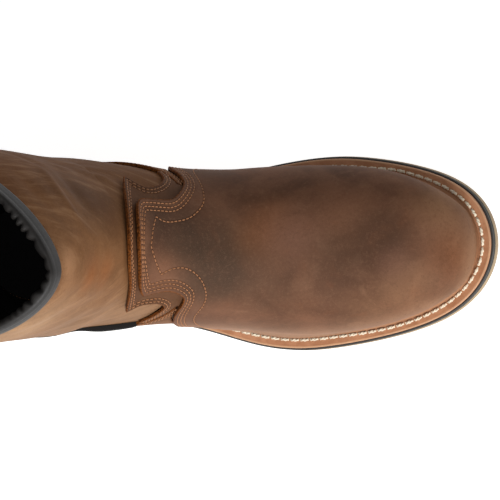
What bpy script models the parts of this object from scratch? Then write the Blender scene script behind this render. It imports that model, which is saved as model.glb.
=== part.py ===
"""Wellington work boot for the right foot, built from sections of a last.

Sizes are in millimetres until a mesh is made. X runs from heel to toe, +Y is the
medial side (towards the other foot), +Z is up and the boot stands on Z = 0.
"""
import math

import bmesh
import bpy
import numpy as np
from mathutils import Vector
from mathutils.geometry import delaunay_2d_cdt

MM = 0.001

# Overall sizes that the tables below are drawn for
SOLE_LENGTH = 302.0
HEEL_SEAT_HEIGHT = 36.0
BALL_HEIGHT = 18.0
TOE_SPRING = 13.5
COLLAR_HEIGHT = 246.0

# Leather, gaps and sole layers
WALL = 2.2
GAP = 0.3
SOLE_GAP = 0.5
SADDLE_TOP = 1.9
QUARTER_TOP = 2.1
VAMP_TOP = 2.3
VAMP_LAP_TOP = 3.9
STRIP_TOP = 1.2
LAP = 22.0
JOIN = 0.02
SNAP = 0.05
WELT_THICK = 3.2
WELT_INSET = 2.2
WELT_WIDTH = 15.0
MIDSOLE_THICK = 6.0
OUTSOLE_THICK = 7.9
INSOLE_THICK = 4.0
INSOLE_CLEAR = 1.7
LUG_DEPTH = 3.5
LUG_PITCH = 14.0
GROOVE = 4.5
CENTRE_GROOVE = 3.0
HEEL_BREAST = 87.0

# Plan of the sole edge: x from the back of the heel, medial y, lateral y
SOLE_PLAN = [
    (10, 21.0, -25.0),
    (25, 31.5, -36.0),
    (45, 36.0, -40.5),
    (75, 35.5, -41.5),
    (105, 33.0, -42.0),
    (135, 35.5, -46.5),
    (165, 43.5, -55.0),
    (190, 48.6, -57.8),
    (210, 50.4, -56.0),
    (235, 48.7, -51.3),
    (260, 43.7, -44.2),
    (280, 36.0, -34.6),
    (294, 24.5, -21.5),
]
HEEL_END = (0.0, -2.0)
TOE_END = (SOLE_LENGTH, 1.0)

# Depth of the flat section round the tip of the toe
TOE_DEPTH = 9.0
TOE_WIDEST = 0.3

# Sections of the foot. Each stands on the sole edge at base x and reaches the ridge at crown x, crown z.
# Medial and lateral are its sides at the widest place, which lies at a share of its height.
# Top power is the squareness over the ridge.
# Columns: base x, crown x, crown z, crown y, medial y, lateral y, widest, top power
FOOT_SECTIONS = {
    "toe wall": (279.0, 291.6, 42.0, 0.8, 18.6, -15.8, 0.42, 2.10),
    "toe front": (275.0, 289.0, 54.0, 0.8, 22.5, -20.3, 0.40, 2.20),
    "toe crown": (267.0, 280.0, 64.0, 0.6, 28.6, -27.3, 0.38, 2.30),
    "toe box": (252.0, 262.0, 71.5, 0.0, 36.1, -36.0, 0.36, 2.35),
    "joint": (226.0, 236.0, 79.0, -0.5, 41.3, -42.4, 0.34, 2.20),
    "ball": (196.0, 207.0, 89.5, -1.0, 41.8, -45.3, 0.33, 2.10),
    "waist": (164.0, 180.0, 101.5, -1.0, 40.3, -42.8, 0.34, 2.00),
    "instep": (130.0, 159.0, 116.0, -1.0, 38.3, -39.6, 0.38, 2.00),
    "throat": (95.0, 147.0, 132.0, -1.0, 42.0, -40.4, 0.44, 2.00),
    "heel seat": (55.0, 141.5, 145.0, -1.2, 45.8, -42.6, 0.47, 2.00),
    "heel curve": (22.0, 139.0, 156.0, -1.6, 47.8, -44.8, 0.48, 2.00),
}

# Sections of the shaft, closed rings from the back seam to the ridge in front. Ring is how far the back of
# the section has turned from the plan of the heel (0) into an oval (1).
# Columns: back x, back z, front x, front z, back y, front y, medial half width, lateral half width, widest,
# front power, back power, ring
SHAFT_SECTIONS = {
    "heel end": (6.0, HEEL_SEAT_HEIGHT, 137.6, 164.0, -2.0, -2.0, 50.0, 45.2, 0.49, 2.00, 2.15, 0.0),
    "heel back": (4.2, 62.0, 136.4, 175.0, -1.4, -2.4, 50.2, 45.8, 0.49, 1.95, 2.20, 0.35),
    "heel top": (7.5, 92.0, 135.4, 187.0, 0.0, -3.0, 50.3, 46.4, 0.49, 1.90, 2.15, 0.85),
    "ankle": (10.5, 125.0, 134.6, 200.0, 2.0, -4.0, 50.4, 47.0, 0.49, 1.88, 2.10, 1.0),
    "shaft": (8.0, 165.0, 134.0, 215.0, 4.4, -5.4, 50.4, 47.8, 0.49, 1.84, 2.05, 1.0),
    "leg": (3.5, 206.0, 132.8, 230.0, 7.0, -9.0, 50.0, 47.4, 0.49, 1.76, 2.00, 1.0),
    "collar": (-1.0, COLLAR_HEIGHT, 130.3, COLLAR_HEIGHT, 9.0, -13.0, 47.5, 43.5, 0.49, 1.62, 1.95, 1.0),
}

# The pieces over the upper end just above the sole edge
SOLE_SHARE = 0.988

# Place of the throat section in the run of sections, which the seams below are drawn for
THROAT_ALONG = 278.7

# Seams. Along is the place in the run of sections from the toe, around is the share of the way from the
# ridge (0) to the sole edge or back seam (1), medial positive. Sharp rows are corners.
VAMP_EDGE = [
    ("medial sole", 237.0, SOLE_SHARE, True),
    ("medial rear", 252.0, 0.740, False),
    ("medial heel of notch", 257.0, 0.510, False),
    ("medial notch low", 249.6, 0.400, False),
    ("medial notch", 248.3, 0.317, False),
    ("medial notch high", 252.3, 0.267, False),
    ("medial notch top", 263.0, 0.208, False),
    ("medial horn foot", 281.0, 0.183, False),
    ("medial horn", 320.0, 0.158, True),
    ("medial brow", 350.0, 0.078, False),
    ("ridge", 356.0, 0.008, False),
    ("lateral brow", 347.0, -0.060, False),
    ("lateral horn", 316.0, -0.160, True),
    ("lateral horn foot", 292.0, -0.166, False),
    ("lateral notch top", 270.0, -0.175, False),
    ("lateral notch high", 256.0, -0.203, False),
    ("lateral notch", 249.6, -0.240, False),
    ("lateral notch low", 251.5, -0.305, False),
    ("lateral heel of notch", 255.6, -0.433, False),
    ("lateral rear", 252.5, -0.560, False),
    ("lateral sole", 237.0, -SOLE_SHARE, True),
]
SADDLE_EDGE = [
    ("medial end", 270.2, 0.462, True),
    ("medial lobe low", 267.6, 0.420, False),
    ("medial lobe", 267.2, 0.367, False),
    ("medial lobe high", 270.9, 0.318, False),
    ("medial lobe top", 281.0, 0.272, False),
    ("medial ear foot", 300.0, 0.242, False),
    ("medial ear", 330.0, 0.272, True),
    ("medial brow", 362.0, 0.100, False),
    ("ridge", 371.5, 0.008, False),
    ("lateral brow", 356.0, -0.090, False),
    ("lateral ear", 326.0, -0.258, True),
    ("lateral ear foot", 306.0, -0.236, False),
    ("lateral lobe top", 290.0, -0.246, False),
    ("lateral lobe high", 274.0, -0.272, False),
    ("lateral lobe", 268.6, -0.305, False),
    ("lateral lobe low", 272.0, -0.345, False),
    ("lateral end", 288.0, -0.470, True),
]
# Edge of the saddle that the vamp hides
SADDLE_HIDDEN = [
    ("lateral notch", 244.0, -0.330, False),
    ("lateral lobe", 242.5, -0.250, False),
    ("lateral inner", 256.0, -0.150, False),
    ("lateral brow", 300.0, -0.100, False),
    ("ridge", 334.0, 0.005, False),
    ("medial brow", 300.0, 0.100, False),
    ("medial inner", 257.0, 0.155, False),
    ("medial lobe", 241.5, 0.270, False),
    ("medial notch", 242.0, 0.350, False),
]
# Top edge of the quarter in side view, from the vamp to the back seam: x, z
QUARTER_TOP_EDGE = {
    1: [(146.0, 101.5), (133.0, 91.6), (119.0, 87.0), (104.0, 81.5), (85.0, 78.0), (52.0, 82.0), (24.0, 96.0)],
    -1: [(145.5, 102.5), (129.0, 94.2), (108.0, 89.5), (85.0, 87.0), (52.0, 88.0), (24.0, 97.0)],
}
QUARTER_BACK_HEIGHT = 106.0
QUARTER_VAMP_SHARE = {1: 0.345, -1: 0.325}
# Edges of the side strips in side view, from collar to ankle: z, rear x, front x. The lateral one sweeps
# forward along the top of the quarter and is thicker there.
STRIP_EDGES = {
    1: [(239.8, 36.5, 50.5), (205.0, 36.5, 50.5), (168.0, 37.5, 51.5), (137.0, 39.5, 53.5), (112.0, 43.0, 57.0)],
    -1: [(239.8, 38.0, 52.0), (205.0, 38.0, 52.0), (168.0, 39.0, 53.0), (140.0, 41.0, 55.5), (120.0, 45.0, 60.0),
         (109.0, 51.0, 71.0), (101.0, 58.0, 96.0)],
}
STRIP_FOOT = {1: (46.0, 60.0), -1: (66.0, 120.5)}
STRIP_FOOT_TOP = {1: 1.2, -1: 3.2}
SEAM_CLEAR = 0.8
STRIP_CLEAR = 1.4

# Binding of the collar: offset from the upper's outer face and height over its edge
COLLAR_PROFILE = [
    (0.3, -5.5), (1.2, -5.5), (1.5, -1.0), (1.0, 2.2), (-1.4, 3.4), (-3.8, 2.4), (-4.9, -1.5),
    (-4.8, -12.0), (-3.5, -20.0), (-2.7, -20.0), (-2.7, -10.0), (-2.6, 0.3), (0.3, 0.3),
]

# How finely things are cut: sections of foot and shaft, points round a section, sole rungs, steps of a seam
HEEL_RUN = 70.0
FOOT_COUNT = 11
SHAFT_COUNT = 9
AROUND_SHARES = (0.08, 0.165, 0.255, 0.35, 0.45, 0.55, 0.65, 0.745, 0.83, 0.9, 0.955, 1.0)
SOLE_RUNGS = 32
SEAM_STEP = 5.0

# name: colour, roughness
LOOKS = {
    "outsole": ((0.36, 0.27, 0.17), 0.75),
    "midsole": ((0.035, 0.033, 0.03), 0.7),
    "welt": ((0.30, 0.15, 0.075), 0.6),
    "insole": ((0.06, 0.05, 0.04), 0.8),
    "upper": ((0.21, 0.115, 0.06), 0.55),
    "saddle": ((0.19, 0.10, 0.052), 0.55),
    "quarter": ((0.16, 0.085, 0.045), 0.55),
    "vamp": ((0.13, 0.066, 0.036), 0.5),
    "side_strip_medial": ((0.012, 0.011, 0.01), 0.7),
    "side_strip_lateral": ((0.012, 0.011, 0.01), 0.7),
    "collar": ((0.03, 0.028, 0.026), 0.75),
}


def ease(x, start, stop):
    """Soft step from 0 at start to 1 at stop."""
    u = np.clip((np.asarray(x, float) - start) / (stop - start), 0.0, 1.0)
    return u * u * (3.0 - 2.0 * u)


def spline(knots, values, at):
    """Natural cubic spline through rows of values."""
    k = np.asarray(knots, float)
    v = np.asarray(values, float)
    step = np.diff(k)
    size = len(k)
    left = np.eye(size)
    right = np.zeros_like(v)
    for i in range(1, size - 1):
        left[i, i - 1:i + 2] = step[i - 1], 2.0 * (step[i - 1] + step[i]), step[i]
        right[i] = 6.0 * ((v[i + 1] - v[i]) / step[i] - (v[i] - v[i - 1]) / step[i - 1])
    bend = np.linalg.solve(left, right)
    at = np.clip(np.asarray(at, float), k[0], k[-1])
    i = np.clip(np.searchsorted(k, at, side="right") - 1, 0, size - 2)
    a = ((k[i + 1] - at) / step[i])[:, None]
    b = ((at - k[i]) / step[i])[:, None]
    h = (step[i] ** 2 / 6.0)[:, None]
    return a * v[i] + b * v[i + 1] + ((a ** 3 - a) * bend[i] + (b ** 3 - b) * bend[i + 1]) * h


def run_length(points):
    """Distance along a line of points, from 0."""
    return np.r_[0.0, np.cumsum(np.linalg.norm(np.diff(points, axis=0), axis=1))]


def through(points, step):
    """Smooth line through points, cut to even steps."""
    p = np.asarray(points, float)
    run = run_length(p)
    count = max(2, int(math.ceil(run[-1] / step)) + 1)
    return spline(run, p, np.linspace(0.0, run[-1], count))


def sole_line(inset):
    """Fine closed line of the sole edge, moved inwards by inset(x)."""
    medial = [(x, m) for x, m, side in SOLE_PLAN]
    lateral = [(x, side) for x, m, side in reversed(SOLE_PLAN)]
    p = np.array([HEEL_END] + medial + [TOE_END] + lateral)
    wrapped = np.vstack([p[-4:], p, p[:5]])
    run = run_length(wrapped)
    line = spline(run, wrapped, np.linspace(run[4], run[4 + len(p)], 1440, endpoint=False))
    tangent = np.roll(line, -1, 0) - np.roll(line, 1, 0)
    tangent /= np.linalg.norm(tangent, axis=1)[:, None]
    inward = np.c_[tangent[:, 1], -tangent[:, 0]]
    return line + inward * np.broadcast_to(inset(line[:, 0]), len(line))[:, None]


def halves(line):
    """Split a closed sole line into medial and lateral halves, each from heel to toe."""
    heel = line[:, 0].argmin()
    line = np.roll(line, -heel, 0)
    toe = line[:, 0].argmax()
    medial = line[:toe + 1]
    lateral = np.vstack([line[toe:], line[:1]])[::-1]
    return medial[np.argsort(medial[:, 0])], lateral[np.argsort(lateral[:, 0])]


def feather_inset(x):
    """How far the bare upper stands inside the sole edge."""
    return 6.0 + 3.8 * ease(x, 90, 170) + 1.9 * ease(x, 225, 290)


def toe_lift(x):
    return TOE_SPRING * np.clip((np.asarray(x, float) - 215.0) / 80.0, 0.0, 1.2) ** 2


def feather_z(x):
    """Height of the line where the upper meets the sole."""
    return HEEL_SEAT_HEIGHT - (HEEL_SEAT_HEIGHT - BALL_HEIGHT) * ease(x, 70, 195) + toe_lift(x)


class Last:
    """The outer face of the bare upper as a function of along and around."""

    def __init__(self):
        self.medial, self.lateral = halves(sole_line(feather_inset))
        # The first section lies flat round the tip of the toe, on the feather line itself
        tip = self.medial[-1]
        start = tip[0] - TOE_DEPTH
        sides = self.feather(start + TOE_DEPTH * TOE_WIDEST)
        flat = (start, tip[0], feather_z(tip[0]), tip[1], sides[0], sides[1], TOE_WIDEST, 2.0)
        rows = []
        for base, cx, cz, cy, my, ly, wide, top in [flat] + list(FOOT_SECTIONS.values()):
            m, side = self.feather(base)
            base_y = (m + side) / 2.0
            middle = base_y + (cy - base_y) * wide
            rows.append((base, feather_z(base), cx, cz, base_y, cy, my - middle, middle - ly, wide, top, 2.0, 0.0))
        self.foot_count = len(rows)
        rows.extend(SHAFT_SECTIONS.values())
        self.rows = np.array(rows)
        self.rows[self.foot_count, [0, 4]] = self.medial[0]
        self.knots = run_length(self.rows[:, :4])
        self.knots += THROAT_ALONG - self.knots[1 + list(FOOT_SECTIONS).index("throat")]
        self.heel_end = self.knots[self.foot_count]
        self.start = self.knots[0]
        self.end = self.knots[-1]

    def feather(self, x):
        m = np.interp(x, self.medial[:, 0], self.medial[:, 1])
        side = np.interp(x, self.lateral[:, 0], self.lateral[:, 1])
        return m, side

    def sections(self, along):
        """Rows of the section tables at places along. The base line turns up the back seam at the heel end."""
        along = np.asarray(along, float)
        k = self.foot_count
        rows = spline(self.knots, self.rows, along)
        back = spline(self.knots[k:], self.rows[k:, :2], along)
        base = spline(self.knots[:k + 1], self.rows[:k + 1, :2], along)
        rows[:, :2] = np.where((along >= self.heel_end)[:, None], back, base)
        return rows

    def section(self, along):
        """Fine points of one section: medial base, over the ridge, lateral base."""
        row = self.sections([along])[0]
        bx, bz, fx, fz, by, fy, medial, lateral, wide, top, low, oval = row
        if along < self.heel_end:
            bz = float(feather_z(bx))
        oval = min(max(oval, 0.0), 1.0)
        a = np.linspace(0.0, math.pi / 2.0, 90)
        s = np.sin(a)
        c = np.cos(a)
        low_share = 1.0 - c
        rise = wide * low_share
        # Near the sole the side keeps to the plan of the feather line, then swells to its widest
        slide = self.medial[0, 0] - bx if along >= self.heel_end else 0.0
        plan = self.feather(bx + (fx - bx) * rise + slide)
        swell = ease(low_share, 0.0, 1.0)
        height = np.r_[rise, wide + (1.0 - wide) * s[1:] ** (2.0 / top)]
        middle = by + (fy - by) * height
        count = len(rise)
        sides = []
        for half, edge, sign in ((medial, plan[0], 1.0), (lateral, plan[1], -1.0)):
            flat = sign * (edge - middle[:count]) * (1.0 - swell) + half * swell
            ring = half * (1.0 - c ** low) ** (1.0 / low)
            foot = flat * (1.0 - oval) + ring * oval
            sides.append(middle + sign * np.r_[foot, half * c[1:] ** (2.0 / top)])
        y = np.r_[sides[0], sides[1][::-1][1:]]
        h = np.r_[height, height[::-1][1:]]
        return np.c_[bx + (fx - bx) * h, y, bz + (fz - bz) * h]

    def points(self, along, around):
        """Points of the face at pairs of along and around."""
        along = np.asarray(along, float)
        around = np.asarray(around, float)
        out = np.zeros((len(along), 3))
        cache = {}
        for i, (t, f) in enumerate(zip(along, around)):
            key = round(float(t), 6)
            if key not in cache:
                p = self.section(key)
                middle = len(p) // 2
                up = p[:middle + 1][::-1]
                down = p[middle:]
                cache[key] = [(q, run_length(q)) for q in (up, down)]
            p, run = cache[key][0 if f >= 0.0 else 1]
            at = min(abs(f), 1.0) * run[-1]
            out[i] = [np.interp(at, run, p[:, k]) for k in range(3)]
        return out

    def frame(self, along, around):
        """Points and outward normals."""
        along = np.clip(np.asarray(along, float), self.start, self.end)
        around = np.asarray(around, float)
        p = self.points(along, around)
        # Normals are taken a little way in from the sole edge, the toe tip and the heel's corner
        place = np.maximum(along, self.start + 4.0)
        foot = place < self.heel_end
        after = np.minimum(place + 0.4, np.where(foot, self.heel_end - 1e-4, self.end))
        before = np.maximum(place - 0.4, np.where(foot, self.start, self.heel_end))
        inner = np.clip(around, -0.96, 0.96)
        run = self.points(after, inner) - self.points(before, inner)
        cross = self.points(place, inner + 0.01) - self.points(place, inner - 0.01)
        n = np.cross(cross, run)
        seam_line = (np.abs(around) > 1.0 - 1e-9) & (along >= self.heel_end - 1e-6)
        n[seam_line, 1] = 0.0
        return p, n / np.linalg.norm(n, axis=1)[:, None]

    def from_side(self, x, z, side):
        """Along and around of a place given in side view, on the medial (1) or lateral (-1) side."""
        t = np.linspace(self.start, self.end, 900)
        rows = self.sections(t)
        turn = (rows[:, 2] - rows[:, 0]) * (z - rows[:, 1]) - (rows[:, 3] - rows[:, 1]) * (x - rows[:, 0])
        i = int(np.nonzero(turn >= 0.0)[0][-1])
        share = turn[i] / (turn[i] - turn[i + 1])
        along = t[i] + (t[i + 1] - t[i]) * share
        p = self.section(along)
        middle = len(p) // 2
        half = p[:middle + 1][::-1] if side > 0 else p[middle:]
        run = run_length(half)
        chord = half[0, [0, 2]] - half[-1, [0, 2]]
        reach = (half[:, [0, 2]] - half[-1, [0, 2]]) @ chord / (chord @ chord)
        here = (np.array([x, z]) - half[-1, [0, 2]]) @ chord / (chord @ chord)
        return along, side * float(np.interp(here, reach[::-1], run[::-1])) / run[-1]


LAST = Last()
CHART = np.array([1.0, 120.0])


def material(name):
    colour, roughness = LOOKS[name]
    mat = bpy.data.materials.new(name)
    mat.use_nodes = True
    shader = mat.node_tree.nodes["Principled BSDF"]
    shader.inputs["Base Color"].default_value = (*colour, 1.0)
    shader.inputs["Roughness"].default_value = roughness
    shader.inputs["Metallic"].default_value = 0.0
    return mat


def make(name, points, faces):
    """A named mesh object facing outwards, with its own material if it is a piece of the boot."""
    mesh = bpy.data.meshes.new(name)
    mesh.from_pydata([tuple(p * MM) for p in points], [], [tuple(f) for f in faces])
    work = bmesh.new()
    work.from_mesh(mesh)
    bmesh.ops.recalc_face_normals(work, faces=work.faces)
    work.to_mesh(mesh)
    work.free()
    if name in LOOKS:
        mesh.materials.append(material(name))
    mesh.polygons.foreach_set("use_smooth", [True] * len(mesh.polygons))
    obj = bpy.data.objects.new(name, mesh)
    bpy.context.collection.objects.link(obj)
    return obj


def thicken(name, inner, outer, faces):
    """A solid between the inner and the outer places of a sheet; places that coincide are joined."""
    used = sorted({i for face in faces for i in face})
    keep = []
    where = {}
    for i in used:
        near = np.abs(outer[keep] - outer[i]).max(axis=1) < JOIN if keep else np.zeros(1, bool)
        if near.any():
            where[i] = int(near.argmax())
        else:
            where[i] = len(keep)
            keep.append(i)
    count = len(keep)
    solid = []
    edges = {}
    for face in faces:
        ring = []
        for i in face:
            if where[i] not in ring:
                ring.append(where[i])
        if len(ring) < 3:
            continue
        solid.append([i + count for i in ring])
        solid.append(ring[::-1])
        for a, b in zip(ring, ring[1:] + ring[:1]):
            edges.setdefault((min(a, b), max(a, b)), []).append((a, b))
    for uses in edges.values():
        if len(uses) == 1:
            a, b = uses[0]
            solid.append([a, b, b + count, a + count])
    return make(name, np.vstack([inner[keep], outer[keep]]), solid)


def grid_values():
    """Along and around values that every sheet of leather shares, closest at toe and heel."""
    toe = LAST.start + (40.0 - LAST.start) * np.linspace(0.0, 1.0, 6, endpoint=False) ** 1.4
    heel = LAST.heel_end - HEEL_RUN * np.linspace(1.0, 0.0, 6) ** 1.7
    foot = np.linspace(40.0, heel[0], FOOT_COUNT, endpoint=False)
    shaft = np.linspace(LAST.heel_end, LAST.end, SHAFT_COUNT)[1:]
    half = np.array(AROUND_SHARES)
    return np.r_[toe, foot, heel, shaft], np.r_[half[::-1], 0.0, -half]


def grid_places():
    """Along and around of every point of the shared grid, and its triangles."""
    along, around = grid_values()
    width = len(around)
    places = np.array([(t, f) for t in along for f in around])
    triangles = []
    for i in range(len(along) - 1):
        for j in range(width - 1):
            a = i * width + j
            triangles.append((a, a + 1, a + 1 + width))
            triangles.append((a, a + 1 + width, a + width))
    return places, triangles


def build_upper():
    places, triangles = grid_places()
    p, n = LAST.frame(places[:, 0], places[:, 1])
    inner = p - n * WALL
    # The edge on the sole is level from face to face
    rim = (np.abs(places[:, 1]) == 1.0) | (places[:, 0] == LAST.start)
    inner[rim, 2] = np.maximum(inner[rim, 2], p[rim, 2])
    return thicken("upper", inner, p, triangles)


def seam(rows, step):
    """Smooth line through the rows of a seam, kept sharp at its corners."""
    places = np.array([(t, f) for name, t, f, sharp in rows]) * CHART
    corners = [i for i, row in enumerate(rows) if row[3] or i in (0, len(rows) - 1)]
    pieces = []
    for a, b in zip(corners[:-1], corners[1:]):
        line = through(places[a:b + 1], step)
        pieces.append(line if b == corners[-1] else line[:-1])
    return np.vstack(pieces) / CHART


def border(start, stop, side):
    """Places just above the sole edge, from start to stop."""
    count = max(2, int(abs(stop - start) / 8.0) + 1)
    return np.c_[np.linspace(start, stop, count), np.full(count, side * SOLE_SHARE)]


def inside(places, outline):
    """Which places lie inside a closed outline."""
    result = np.zeros(len(places), bool)
    for (t0, f0), (t1, f1) in zip(outline, np.roll(outline, -1, axis=0)):
        crosses = (places[:, 1] < f0) != (places[:, 1] < f1)
        reach = t0 + (t1 - t0) * (places[:, 1] - f0) / (f1 - f0 if f1 != f0 else 1.0)
        result ^= crosses & (places[:, 0] < reach)
    return result


def on_grid(places, values):
    """Values of the grid at places between its points, flat over each of its triangles."""
    along, around = grid_values()
    width = len(around)
    i = np.clip(np.searchsorted(along, places[:, 0], side="right") - 1, 0, len(along) - 2)
    j = np.clip(np.searchsorted(-around, -places[:, 1], side="right") - 1, 0, width - 2)
    u = ((places[:, 0] - along[i]) / (along[i + 1] - along[i]))[:, None]
    v = ((around[j] - places[:, 1]) / (around[j] - around[j + 1]))[:, None]
    a, b, c, d = (values[k] for k in (i * width + j, i * width + j + 1, (i + 1) * width + j + 1, (i + 1) * width + j))
    return np.where(v >= u, a + v * (b - a) + u * (c - b), a + u * (d - a) + v * (c - d))


def overlay(name, outlines, low, high):
    """A leather piece cut out of the shared grid; low and high are offsets or functions of the points."""
    places, triangles = grid_places()
    p, n = LAST.frame(places[:, 0], places[:, 1])
    low = low(p) if callable(low) else np.full(len(p), low)
    high = high(p) if callable(high) else np.full(len(p), high)
    flat = [Vector(place) for place in np.vstack([places] + outlines) * CHART]
    edges = {tuple(sorted(pair)) for t in triangles for pair in zip(t, t[1:] + t[:1])}
    start = len(places)
    rims = []
    for outline in outlines:
        count = len(outline)
        rims.extend((start + i, start + (i + 1) % count) for i in range(count))
        start += count
    verts, _, cells, *_ = delaunay_2d_cdt(flat, list(edges) + rims, [], 0, SNAP)
    cut = np.array([tuple(v) for v in verts]) / CHART
    middles = np.array([cut[list(cell)].mean(axis=0) for cell in cells])
    kept = np.any([inside(middles, outline) for outline in outlines], axis=0)
    faces = [cell for cell, keep in zip(cells, kept) if keep]
    inner = on_grid(cut, p + n * low[:, None])
    outer = on_grid(cut, p + n * high[:, None])
    return thicken(name, inner, outer, faces)


def shift(line, distance):
    """A seam moved sideways over the leather, to the left of its run."""
    p, n = LAST.frame(line[:, 0], line[:, 1])
    tangent = np.gradient(p, axis=0)
    left = np.cross(n, tangent / np.linalg.norm(tangent, axis=1)[:, None])
    inwards = np.where(line[:, 1] > 0.0, -0.01, 0.01)
    by_along = LAST.points(line[:, 0] + 1.0, line[:, 1]) - p
    by_around = LAST.points(line[:, 0], line[:, 1] + inwards) - p
    moved = line.copy()
    for i in range(len(line)):
        steps = np.c_[by_along[i], by_around[i]]
        share = np.linalg.lstsq(steps, left[i] * distance, rcond=None)[0]
        moved[i] += share * (1.0, inwards[i])
    moved[:, 1] = np.clip(moved[:, 1], -1.0, 1.0)
    return moved


def distance_to(line):
    """A function that gives the distance of points from a seam."""
    q = LAST.points(line[:, 0], line[:, 1])

    def measure(p):
        return np.min(np.linalg.norm(p[:, None] - q[None], axis=2), axis=1)
    return measure


def quarter_edge(side):
    """Top edge of the quarter from the vamp to the back seam, and its side view."""
    flat = through(QUARTER_TOP_EDGE[side] + [(8.6, QUARTER_BACK_HEIGHT)], SEAM_STEP)
    places = np.array([LAST.from_side(x, z, side) for x, z in flat[:-1]])
    return np.vstack([places, [BACK_ALONG, side]]), flat


def build_vamp():
    edge = seam(VAMP_EDGE, SEAM_STEP)
    scroll = distance_to(seam(VAMP_EDGE[3:-3], 1.5))
    whole = distance_to(seam(VAMP_EDGE, 1.5))
    toe = LAST.start + 1.4
    medial = border(toe, edge[0, 0], 1)[:-1]
    lateral = border(edge[-1, 0], toe, -1)
    front = np.array([(toe, -0.5), (toe, 0.0), (toe, 0.5)])

    def low(p):
        return GAP + SADDLE_TOP * (1.0 - ease(scroll(p), LAP, LAP + 14.0))

    def high(p):
        return VAMP_LAP_TOP - (VAMP_LAP_TOP - VAMP_TOP) * ease(whole(p), 14.0, 40.0)
    return overlay("vamp", [np.vstack([medial, edge[:-1], lateral, front])], low, high)


def build_saddle():
    edge = seam(SADDLE_EDGE, SEAM_STEP)
    hidden = seam(SADDLE_HIDDEN, SEAM_STEP)
    ends = {}
    for side in (1, -1):
        top, _ = quarter_edge(side)
        over = shift(top[:-1], SEAM_CLEAR * side)
        ends[side] = over[over[:, 0] < abs(edge[0 if side > 0 else -1, 0]) - 2.0]
    outline = np.vstack([edge, ends[-1][::-1], hidden, ends[1]])
    return overlay("saddle", [outline], GAP, SADDLE_TOP)


def build_quarter():
    vamp = seam(VAMP_EDGE, SEAM_STEP)
    rear = shift(vamp, -SEAM_CLEAR)
    share = QUARTER_VAMP_SHARE
    middle = len(vamp) // 2
    outlines = []
    for side in (1, -1):
        top, _ = quarter_edge(side)
        part = rear[:middle] if side > 0 else rear[middle:][::-1]
        part = part[side * part[:, 1] > share[side]]
        back = np.linspace(BACK_ALONG, LAST.heel_end + 1.0, 8)
        sole = border(LAST.heel_end - 2.0, part[0, 0], side)[:-1]
        outlines.append(np.vstack([top[:-1], np.c_[back, np.full(8, float(side))], sole, part]))
    return overlay("quarter", outlines, GAP, QUARTER_TOP)


def build_strip(name, side):
    _, edge = quarter_edge(side)
    order = np.argsort(edge[:, 0])
    rows = np.array(STRIP_EDGES[side])
    ends = np.array(STRIP_FOOT[side])
    foot = np.interp(ends, edge[order, 0], edge[order, 1]) + STRIP_CLEAR
    rear = through(np.vstack([rows[:, [1, 0]], [ends[0], foot[0]]]), SEAM_STEP * 2.0)
    front = through(np.vstack([rows[:, [2, 0]], [ends[1], foot[1]]]), SEAM_STEP * 2.0)
    base = np.linspace(ends[1], ends[0], 6)[1:-1]
    along_foot = np.c_[base, np.interp(base, edge[order, 0], edge[order, 1]) + STRIP_CLEAR]
    outline = [LAST.from_side(x, z, side) for x, z in np.vstack([rear, along_foot[::-1], front[::-1]])]

    def high(p):
        swell = ease(p[:, 0], 86.0, 102.0) * (1.0 - ease(p[:, 2], 99.0, 112.0))
        return STRIP_TOP + (STRIP_FOOT_TOP[side] - STRIP_TOP) * swell
    return overlay(name, [np.array(outline)], GAP, high)


def build_collar():
    """The binding follows the upper below its edge and rolls over above it."""
    _, around = grid_values()
    around = around[:-1]
    run = np.linspace(LAST.end - 75.0, LAST.end, 16)
    columns = [LAST.frame(run, np.full(len(run), f)) for f in around]
    rings = []
    for offset, rise in COLLAR_PROFILE:
        ring_points = []
        for p, n in columns:
            height = COLLAR_HEIGHT + min(rise, 0.0)
            here = np.array([np.interp(height, p[:, 2], p[:, k]) for k in range(3)])
            out = np.array([np.interp(height, p[:, 2], n[:, k]) for k in range(3)])
            out[2] = 0.0
            here += out / np.linalg.norm(out) * offset
            ring_points.append(here + (0.0, 0.0, max(rise, 0.0)))
        rings.append(np.array(ring_points))
    return make("collar", np.vstack(rings), torus_faces(len(rings), len(around)))


def torus_faces(rings, count):
    """Faces of a closed run of closed rings."""
    faces = []
    for r in range(rings):
        a = r * count
        b = (r + 1) % rings * count
        for i in range(count):
            j = (i + 1) % count
            faces.append((a + i, a + j, b + j, b + i))
    return faces


def groove_places():
    """Where the cross grooves of the tread lie."""
    heel = [20.0, 42.0, 64.0]
    front = list(np.arange(156.0, 292.0, LUG_PITCH + GROOVE))
    return heel + front


def rungs(tread):
    """Places along the sole where its rings have a pair of points."""
    even = SOLE_LENGTH * (0.5 - 0.5 * np.cos(np.pi * np.arange(1, SOLE_RUNGS) / SOLE_RUNGS))
    if not tread:
        return even / SOLE_LENGTH
    places = [HEEL_BREAST - 1.5, HEEL_BREAST + 1.5]
    for x in groove_places():
        places.extend((x - GROOVE / 2, x - GROOVE / 2 + 0.5, x + GROOVE / 2 - 0.5, x + GROOVE / 2))
    places = np.array(places)
    free = [x for x in even if np.abs(places - x).min() > 3.0]
    return np.sort(np.r_[places, free]) / SOLE_LENGTH


def ring(inset, height, shares):
    """Closed ring of the sole: heel end, medial side, toe end, lateral side."""
    medial, lateral = halves(sole_line(inset if callable(inset) else lambda x: inset))
    heel = medial[0]
    toe = medial[-1]
    x = heel[0] + (toe[0] - heel[0]) * shares
    left = np.c_[x, np.interp(x, medial[:, 0], medial[:, 1])]
    right = np.c_[x, np.interp(x, lateral[:, 0], lateral[:, 1])]
    line = np.vstack([heel, left, toe, right[::-1]])
    return np.c_[line, height(line[:, 0])]


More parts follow.
